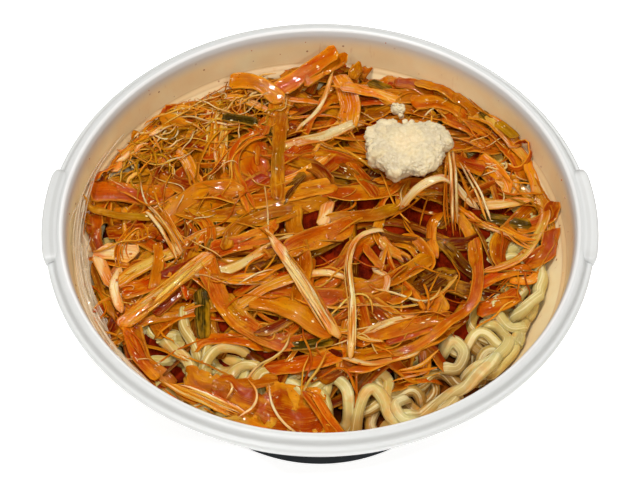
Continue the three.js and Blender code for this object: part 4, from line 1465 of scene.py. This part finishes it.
def last_shreds(pile):
    """What lies over everything else, the garlic too."""
    lay = pile.lay
    lay("orange", 4.0, ((55, 6), (55, -8), (53, -24), (45, -34), (34, -44), (18, -53), (8, -55)), 1.0,
        ends=(3, 6), edge=0.6, lift=0.6)
    lay("cream", 3.0, ((-59, 13), (-53, 4), (-48, -9)), ends=(4, 4), frays=5, edge=0.6)
    pile.bundle("cream", 4.4, ((-47, -10), (-53, 4), (-61, 17)), 6, 0.5, lift=0.4)
    lay("cream", 4.2, ((-19, 1), (-12, -13), (-4, -26), (6, -43)), ends=(12, 1.5), frays=3, edge=0.5,
        lift=0.6)
    pile.bundle("cream", 3.8, ((-15, -8), (-9, -18), (-3, -28), (5, -42)), 5, 0.3, lift=0.7)
    lay("cream", 5.0, ((3, 14), (1, 2)), 1.0)
    lay("red", 7.5, ((47, 31), (60, 34)), 0.9, edge=0.2)
    lay("green", 5.4, ((57, 13), (65, 12), (75, 10)), 1.0, ends=(4, 1), curl=-0.2)
    lay("cream", 3.8, ((28, 11), (38, 17), (46, 21), (57, 17)), 1.0, ends=(4, 4), edge=0.5)
    lay("cream", 4.6, ((57, 18), (66, 19), (76, 20)), 1.1, ends=(1, 6), edge=0.4)
    lay("ochre", 4.2, ((48, 14), (53, 3), (54, -13)), 1.0, ends=(3, 6), edge=0.6)
    lay("cream", 2.2, ((24, 2), (15, -2), (11, -8), (10, -16), (11, -33), (10, -52)), ends=(2, 2), lift=1.5,
        edge=0.5)
    pile.bundle("cream", 2.4, ((14, -3), (11, -9), (10, -17), (11, -33), (10, -51)), 3, 0.2, lift=1.5)
    lay("cream", 2.2, ((7, -51), (17, -53), (29, -49), (35, -45)), 0.9, ends=(4, 4), lift=0.8)
    pile.bundle("wisp", 3.6, ((46, 37), (46, 20), (47, 3)), 5, 0.3)
    for shift in (0.0, 1.6):
        pile.wisp(through((46 + shift, 36), (46.5 + shift, 22), (47 + shift, 7)), 1.1, "cream", lift=0.8)
        pile.wisp(through((50 + shift, 30), (56 + shift, 22), (59 + shift, 9)), 1.0, "cream", lift=0.8)
    for shift in (0.0, 1.5):
        pile.wisp(through((48 + shift, 27), (52, 23 - shift), (55, 17)), 0.9)
        pile.wisp(through((33 + shift, 40), (36, 52), (29, 64)), 0.7)
        pile.wisp(through((54 + shift, 66), (62, 58), (70, 48)), 0.8)
    pile.wisp(through((35, -18), (37, -27), (36, -35)), 0.9)


def front_shreds(pile):
    """The wide, thin skins and flat shreds that lie on the noodles at the front."""
    lay = pile.lay
    front = pile.front
    lay("ochre", 5.0, ((-40, -57), (-28, -58), (-14, -57)), 0.7, ends=(1, 2), batch=front, frays=2,
        lift=0.4)
    drape(pile, ((-45, -54), (-38, -59), (-30, -62)), 4.5, 4.5, "ochre", 1.8, shade=0.9)
    drape(pile, ((-36, -60), (-20, -66), (-6, -67), (4, -68)), 6.0, 5.5, "orange", 1.0, shade=0.95)
    drape(pile, ((-33, -69), (-18, -72), (-4, -73), (6, -72)), 3.0, 3.0, "tan", 0.9, shade=0.9)
    drape(pile, ((-18, -60), (-8, -61), (2, -62)), 3.0, 3.0, "peach", 0.5)
    for k in range(9):
        shift = k * 0.9
        lay(("tan", "cream", "orange")[k % 3], rng.uniform(0.8, 2.0),
            ((-53 + shift, -56 - shift / 3), (-44 + shift, -62), (-30 + shift, -69)), 0.5, ends=(6, 6),
            lift=0.8, batch=front, shade=1.1)
    lay("orange", 4.0, ((-5, -60), (0, -66), (5, -74)), 0.7, lift=1.2, batch=front)
    lay("orange", 3.0, ((-2, -61), (3, -68), (9, -73)), 0.7, lift=1.2, batch=front, frays=2)
    for spots in (
        ((-24, -57), (-21, -62), (-22, -67), (-27, -71)),
        ((-17, -59), (-16, -65), (-12, -70), (-5, -73)),
        ((-30, -58), (-29, -61), (-31, -64)),
    ):
        lay("cream", 0.9, spots, 0.7, ends=(4, 4), lift=1.5, batch=front)


def wall_slivers(pile):
    """Near-clear slivers that hang on the left wall above the noodles."""
    usual_radius = 82
    for _ in range(30):
        angle = math.pi + rng.normal(0.16, 0.3)
        length = rng.uniform(24, 60)
        count = int(length / 1.5)
        sweep = angle + np.linspace(-0.5, 0.5, count) * length / usual_radius * rng.uniform(0.8, 1.0)
        level = 56 + 10 * rng.random() + np.linspace(-3, 3, count) * rng.normal(0, 1.2)
        level = np.clip(level, 53, 70)
        radius = wall_reach(level) - rng.uniform(0.8, 3.2)
        route = around(radius, sweep, level)
        width = rng.uniform(0.4, 1.0) if rng.random() < 0.6 else rng.uniform(2, 4)
        made = shred_rings(route, width, 0.35, roll=1.1, sides=8, ribs=0.1, ends=(8, 8))
        pile.clear.add(made[0], srgb(236, 214, 176))


# ---- Garlic -------------------------------------------------------------------------------------


def lump_mesh(name, lumps, material):
    """Rough lumps in one mesh, each (middle, half sizes, roughness, detail).

    The one with the garlic's detail is boxy from above, widens to the back and has a torn outline.
    """
    whole = bmesh.new()
    for middle, half, rough, detail in lumps:
        power = {GARLIC_DETAIL: 4.0, 5: 2.6, 4: 2.6}.get(detail, 2.0)
        made = bmesh.ops.create_icosphere(whole, subdivisions=detail, radius=1.0)
        shift = Vector(rng.uniform(-50, 50, 3))
        for point in made["verts"]:
            out = point.co.copy()
            wide = (abs(out.x) ** power + abs(out.y) ** power) ** (2.4 / power)
            flat = (wide + abs(out.z) ** 2.4) ** (-1 / 2.4)
            spot = Vector((out.x * half[0], out.y * half[1], out.z * half[2])) * flat
            if detail == GARLIC_DETAIL:
                torn = 1 + 0.11 * noise.noise(Vector((out.x * 2.6, out.y * 2.6, 0)) + shift)
                spot.x *= (1 + GARLIC_FLARE * spot.y) * torn
                spot.y *= torn
            crumb = noise.fractal(spot * 0.42 + shift, 0.9, 2.1, 4)
            crisp = abs(noise.noise(spot * 1.1 + shift))
            push = rough * (crumb * 1.1 + crisp * 0.9 - 0.25)
            spot += out * push
            point.co = (spot + Vector(middle)) * MM
    mesh = bpy.data.meshes.new(name)
    whole.to_mesh(mesh)
    whole.free()
    mesh.polygons.foreach_set("use_smooth", np.ones(len(mesh.polygons), bool))
    mesh.materials.append(material)
    thing = placed(name, mesh)
    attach(thing, "root")
    return thing


def node_middle(node):
    """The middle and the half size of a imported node, in mm."""
    low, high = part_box(node)
    return np.array((low + high) / 2) / MM, np.array(high - low) / 2 / MM


def make_garlic(pile):
    """The grated lump and the crumb beside it."""
    pulp = garlic_pulp()
    middle, half = node_middle("garlic")
    middle = middle + GARLIC_SHIFT
    lumps = [(middle + (0, -0.6, -0.6), half * (0.84, 0.82, 0.66), 0.7, GARLIC_DETAIL)]
    for _ in range(26):
        turn = rng.uniform(0, math.tau)
        share = rng.uniform(0.5, 0.8)
        up = max(share * half[1] * math.sin(turn), -0.7 * half[1])
        spot = middle + (share * half[0] * math.cos(turn) * (1 + GARLIC_FLARE * up), up, -1.0)
        size = rng.uniform(1.8, 4.4, 2)
        lumps.append((spot, (*size, half[2] * rng.uniform(0.45, 0.72)), 0.8, 4))
    for _ in range(120):
        turn = rng.uniform(0, math.tau)
        share = math.sqrt(rng.uniform(0.1, 0.9))
        x, y = share * half[0] * 0.88 * math.cos(turn), share * half[1] * 0.84 * math.sin(turn)
        x *= 1 + GARLIC_FLARE * y
        top = half[2] * 0.72 * (1 - share**6) ** 0.5
        size = rng.uniform(0.5, 1.2)
        spot = middle + (x, y, -1.1 + top * rng.uniform(0.74, 0.86))
        lumps.append((spot, size * np.array([*rng.uniform(0.8, 1.6, 2), 0.4]), 0.6 * size, 3))
    lump = lump_mesh("grated_garlic", lumps, pulp)
    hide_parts("garlic")
    middle, half = node_middle("garlic_crumb")
    middle = middle + CRUMB_SHIFT
    lumps = [(middle, half * 0.72, 0.6, 5)]
    for _ in range(14):
        spot = middle + half * rng.normal(0, 0.36, 3)
        lumps.append((spot, rng.uniform(0.5, 1.1) * rng.uniform(0.7, 1.3, 3), 0.4, 3))
    crumb = lump_mesh("garlic_crumb_rough", lumps, pulp)
    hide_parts("garlic_crumb")
    middle, half = node_middle("garlic")
    inside = ((pile.relief.x - middle[0]) / half[0]) ** 2 + ((pile.relief.y - middle[1]) / half[1]) ** 2
    dome = middle[2] - 0.8 + half[2] * 0.9 * np.sqrt(np.clip(1 - inside, 0, 1))
    pile.relief.z = np.where(inside < 1, np.maximum(pile.relief.z, dome), pile.relief.z)


# ---- Oil and crumbs -----------------------------------------------------------------------------


def scatter_oil(pile):
    """Beads of chilli oil and flakes on the food, and a few on the wall and the rim."""
    lumps = []
    garlic, half = node_middle("garlic")
    for _ in range(200):
        angle = rng.uniform(0, math.tau)
        radius = 80 * math.sqrt(rng.random())
        x, y = place_at(radius, angle)
        size = rng.uniform(0.2, 0.6)
        if math.hypot((x - garlic[0]) / half[0], (y - garlic[1]) / half[1]) < 1.1:
            continue
        if radius > float(heap_edge(angle)) and rng.random() < 0.7:
            continue
        z = float(pile.relief.level(np.array(x), np.array(y))) + size * 0.1
        lumps.append(((x, y, z), (size * rng.uniform(0.8, 1.6), size, size * 0.5), 0.1, 1))
    for _ in range(26):
        angle = rng.uniform(0, math.tau)
        level = rng.uniform(60, 73)
        spot = *place_at(float(wall_reach(np.array(level))), angle), level
        lumps.append((spot, [rng.uniform(0.12, 0.32)] * 3, 0.05, 1))
    return lump_mesh("chilli_oil", lumps, oil_bead())


# ---- Putting it together ------------------------------------------------------------------------


def make_food():
    """Everything in the bowl, laid from the lowest to the topmost."""
    pile = Pile()
    # Both beds' dark red-brown colours are painted shade, for the deep gaps between the loose food.
    dark_bed = bed(
        "noodle_bed",
        bed_shade("noodle_bed_shade", srgb(120, 58, 6), srgb(56, 14, 4)),
        lambda x, y: noodle_level(x, y) - NOODLE_LOOSE,
        lambda angle: np.full_like(angle, NOODLE_BED_REACH),
        base_radius=49.0,
        base_level=FLOOR_LEVEL + 0.3,
    )
    core = bed(
        "heap_core",
        bed_shade("heap_core_shade", srgb(132, 30, 0), srgb(64, 6, 0)),
        core_level,
        lambda angle: np.minimum(heap_edge(angle) - 3.0, HEAP_CORE_REACH),
        base_radius=40.0,
        base_level=46.0,
    )
    # The strewn noodles under the top ones are painted darker and warmer: painted shade and dressing stain.
    strew_noodles(pile, 40, (50, 77), (0, math.tau), 0.6, (0.74, 0.6, 0.36))
    strew_noodles(pile, 26, (50, 78), (-math.pi * 0.98, 0.35), 0.6, (0.94, 0.84, 0.62))
    # The lower layers of shreds are painted darker, with shade below 1: painted shade.
    fill_heap(pile, 90, DEEP_KINDS, (35, 70), (3, 7), (0.8, 1.2), 0.97, batch=pile.deep, stiffness=6,
              proud=-5, shade=0.72)
    fill_heap(pile, 125, MID_KINDS, (26, 60), (3.0, 8.0), (0.55, 0.85), shade=0.85)
    fill_heap(pile, 46, MID_KINDS, (16, 40), (2.5, 7.0), (0.55, 0.85), 1.02, turn=(0.3, 3.0), crowd=0.06)
    top_noodles(pile)
    fill_heap(pile, 50, THIN_KINDS, (20, 55), (1.2, 2.6), (0.5, 0.8), stiffness=8, tilt=0.8, proud=-1.5)
    fill_heap(pile, 50, THIN_KINDS, (8, 20), (2.4, 5.0), (0.5, 0.8), stiffness=5, proud=-1.5)
    top_shreds(pile)
    top_bundles(pile)
    strew_fibres(pile, 60, (0.0, math.tau), 0.45)
    strew_fibres(pile, 70, (1.75, 2.75), 0.12, ("wisp", "tan", "cream", "lime"))
    strew_fibres(pile, 30, (0.2, 1.2), 0.12)
    make_garlic(pile)
    last_shreds(pile)
    front_shreds(pile)
    wall_slivers(pile)
    strew_fibres(pile, 50, (1.9, 2.75), 0.12, ("cream", "tan", "cream", "lime"))
    pile.lay("green", 4.6, ((-36, 56), (-30, 55), (-23, 53)), 0.9, ends=(0.5, 1), lift=0.6)
    noodles = pile.noodles.piece("ramen_noodles", noodle_skin())
    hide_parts("noodles")
    dressed = onion_skin("onion_dressed")
    pale = onion_skin("onion_pale", clear=0.3, wet=0.95, veins=1.3, ink=srgb(255, 246, 224),
                      depth=(0.9, 0.62, 0.26), streaks=0.7, threads=0.45)
    green = onion_skin("onion_green", clear=0.05, wet=0.9)
    wispy = onion_skin("onion_fibre", clear=0.2, wet=0.6, veins=0.6)
    for name, batch, material in (
        ("onion_under_shreds", pile.deep, dressed),
        ("onion_orange_shreds", pile.orange, dressed),
        ("onion_pale_shreds", pile.pale, pale),
        ("onion_green_shreds", pile.green, green),
        ("onion_fibres", pile.wisps, wispy),
    ):
        piece = batch.piece(name, material)
        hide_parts("onion_heap")
    front = pile.front.piece("onion_front_shreds", dressed)
    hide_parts("onion_front")
    clear = pile.clear.piece("onion_clear_slivers", clear_sliver())
    scatter_oil(pile)


# ---- Stage, light and camera --------------------------------------------------------------------


def set_stage():
    """A pale floor, a warm studio and five round lamps."""
    sheet = bpy.data.meshes.new("floor")
    sheet.from_pydata([(-3, -3, 0), (3, -3, 0), (3, 3, 0), (-3, 3, 0)], [], [(0, 1, 2, 3)])
    floor = placed("floor", sheet)
    paint = Finish("floor_paint")
    soft = paint.speckle(paint.place(), 0.004, 2, 0.5)
    paint.set(Base_Color=paint.mixed(soft, (0.95, 0.95, 0.95), (0.97, 0.97, 0.97)), Roughness=0.8)
    paint.set(Emission_Color=(1.0, 1.0, 1.0), Emission_Strength=0.8)
    sheet.materials.append(paint.material)
    world = bpy.data.worlds.new("studio")
    bpy.context.scene.world = world
    world.use_nodes = True
    glow = world.node_tree.nodes["Background"].inputs
    glow["Color"].default_value = (1.0, 0.8, 0.48, 1.0)
    glow["Strength"].default_value = 0.12
    for name, spot, target_height, size, power in (
        ("softbox_above", (-0.2, 0.05, 1.2), 0.05, 0.13, 7.0),
        ("softbox_right", (0.7, -0.75, 1.0), 0.05, 0.1, 3.2),
        ("softbox_back", (0.25, 0.75, 0.85), 0.05, 0.06, 2.1),
        ("flash", (0.05, -0.36, 0.62), 0.06, 0.025, 1.2),
        ("glint", (-0.4, -0.25, 0.7), 0.06, 0.03, 0.8),
    ):
        light = bpy.data.lights.new(name, "AREA")
        light.shape, light.size, light.energy = "DISK", size, power
        aimed(placed(name, light), spot, (0.0, 0.0, target_height))


def set_camera():
    """A long lens that looks down on the bowl from the front."""
    camera = bpy.data.cameras.new("camera")
    camera.lens, camera.sensor_width, camera.clip_start = 101.5, 36, 0.01
    bpy.context.scene.camera = placed("camera", camera)
    aimed(bpy.context.scene.camera, (0, -0.3925, 0.5569), (0, -0.0101, LIP_LEVEL * MM))


make_bowl()
make_food()
set_stage()
set_camera()
bpy.context.scene.view_settings.view_transform = "Standard"
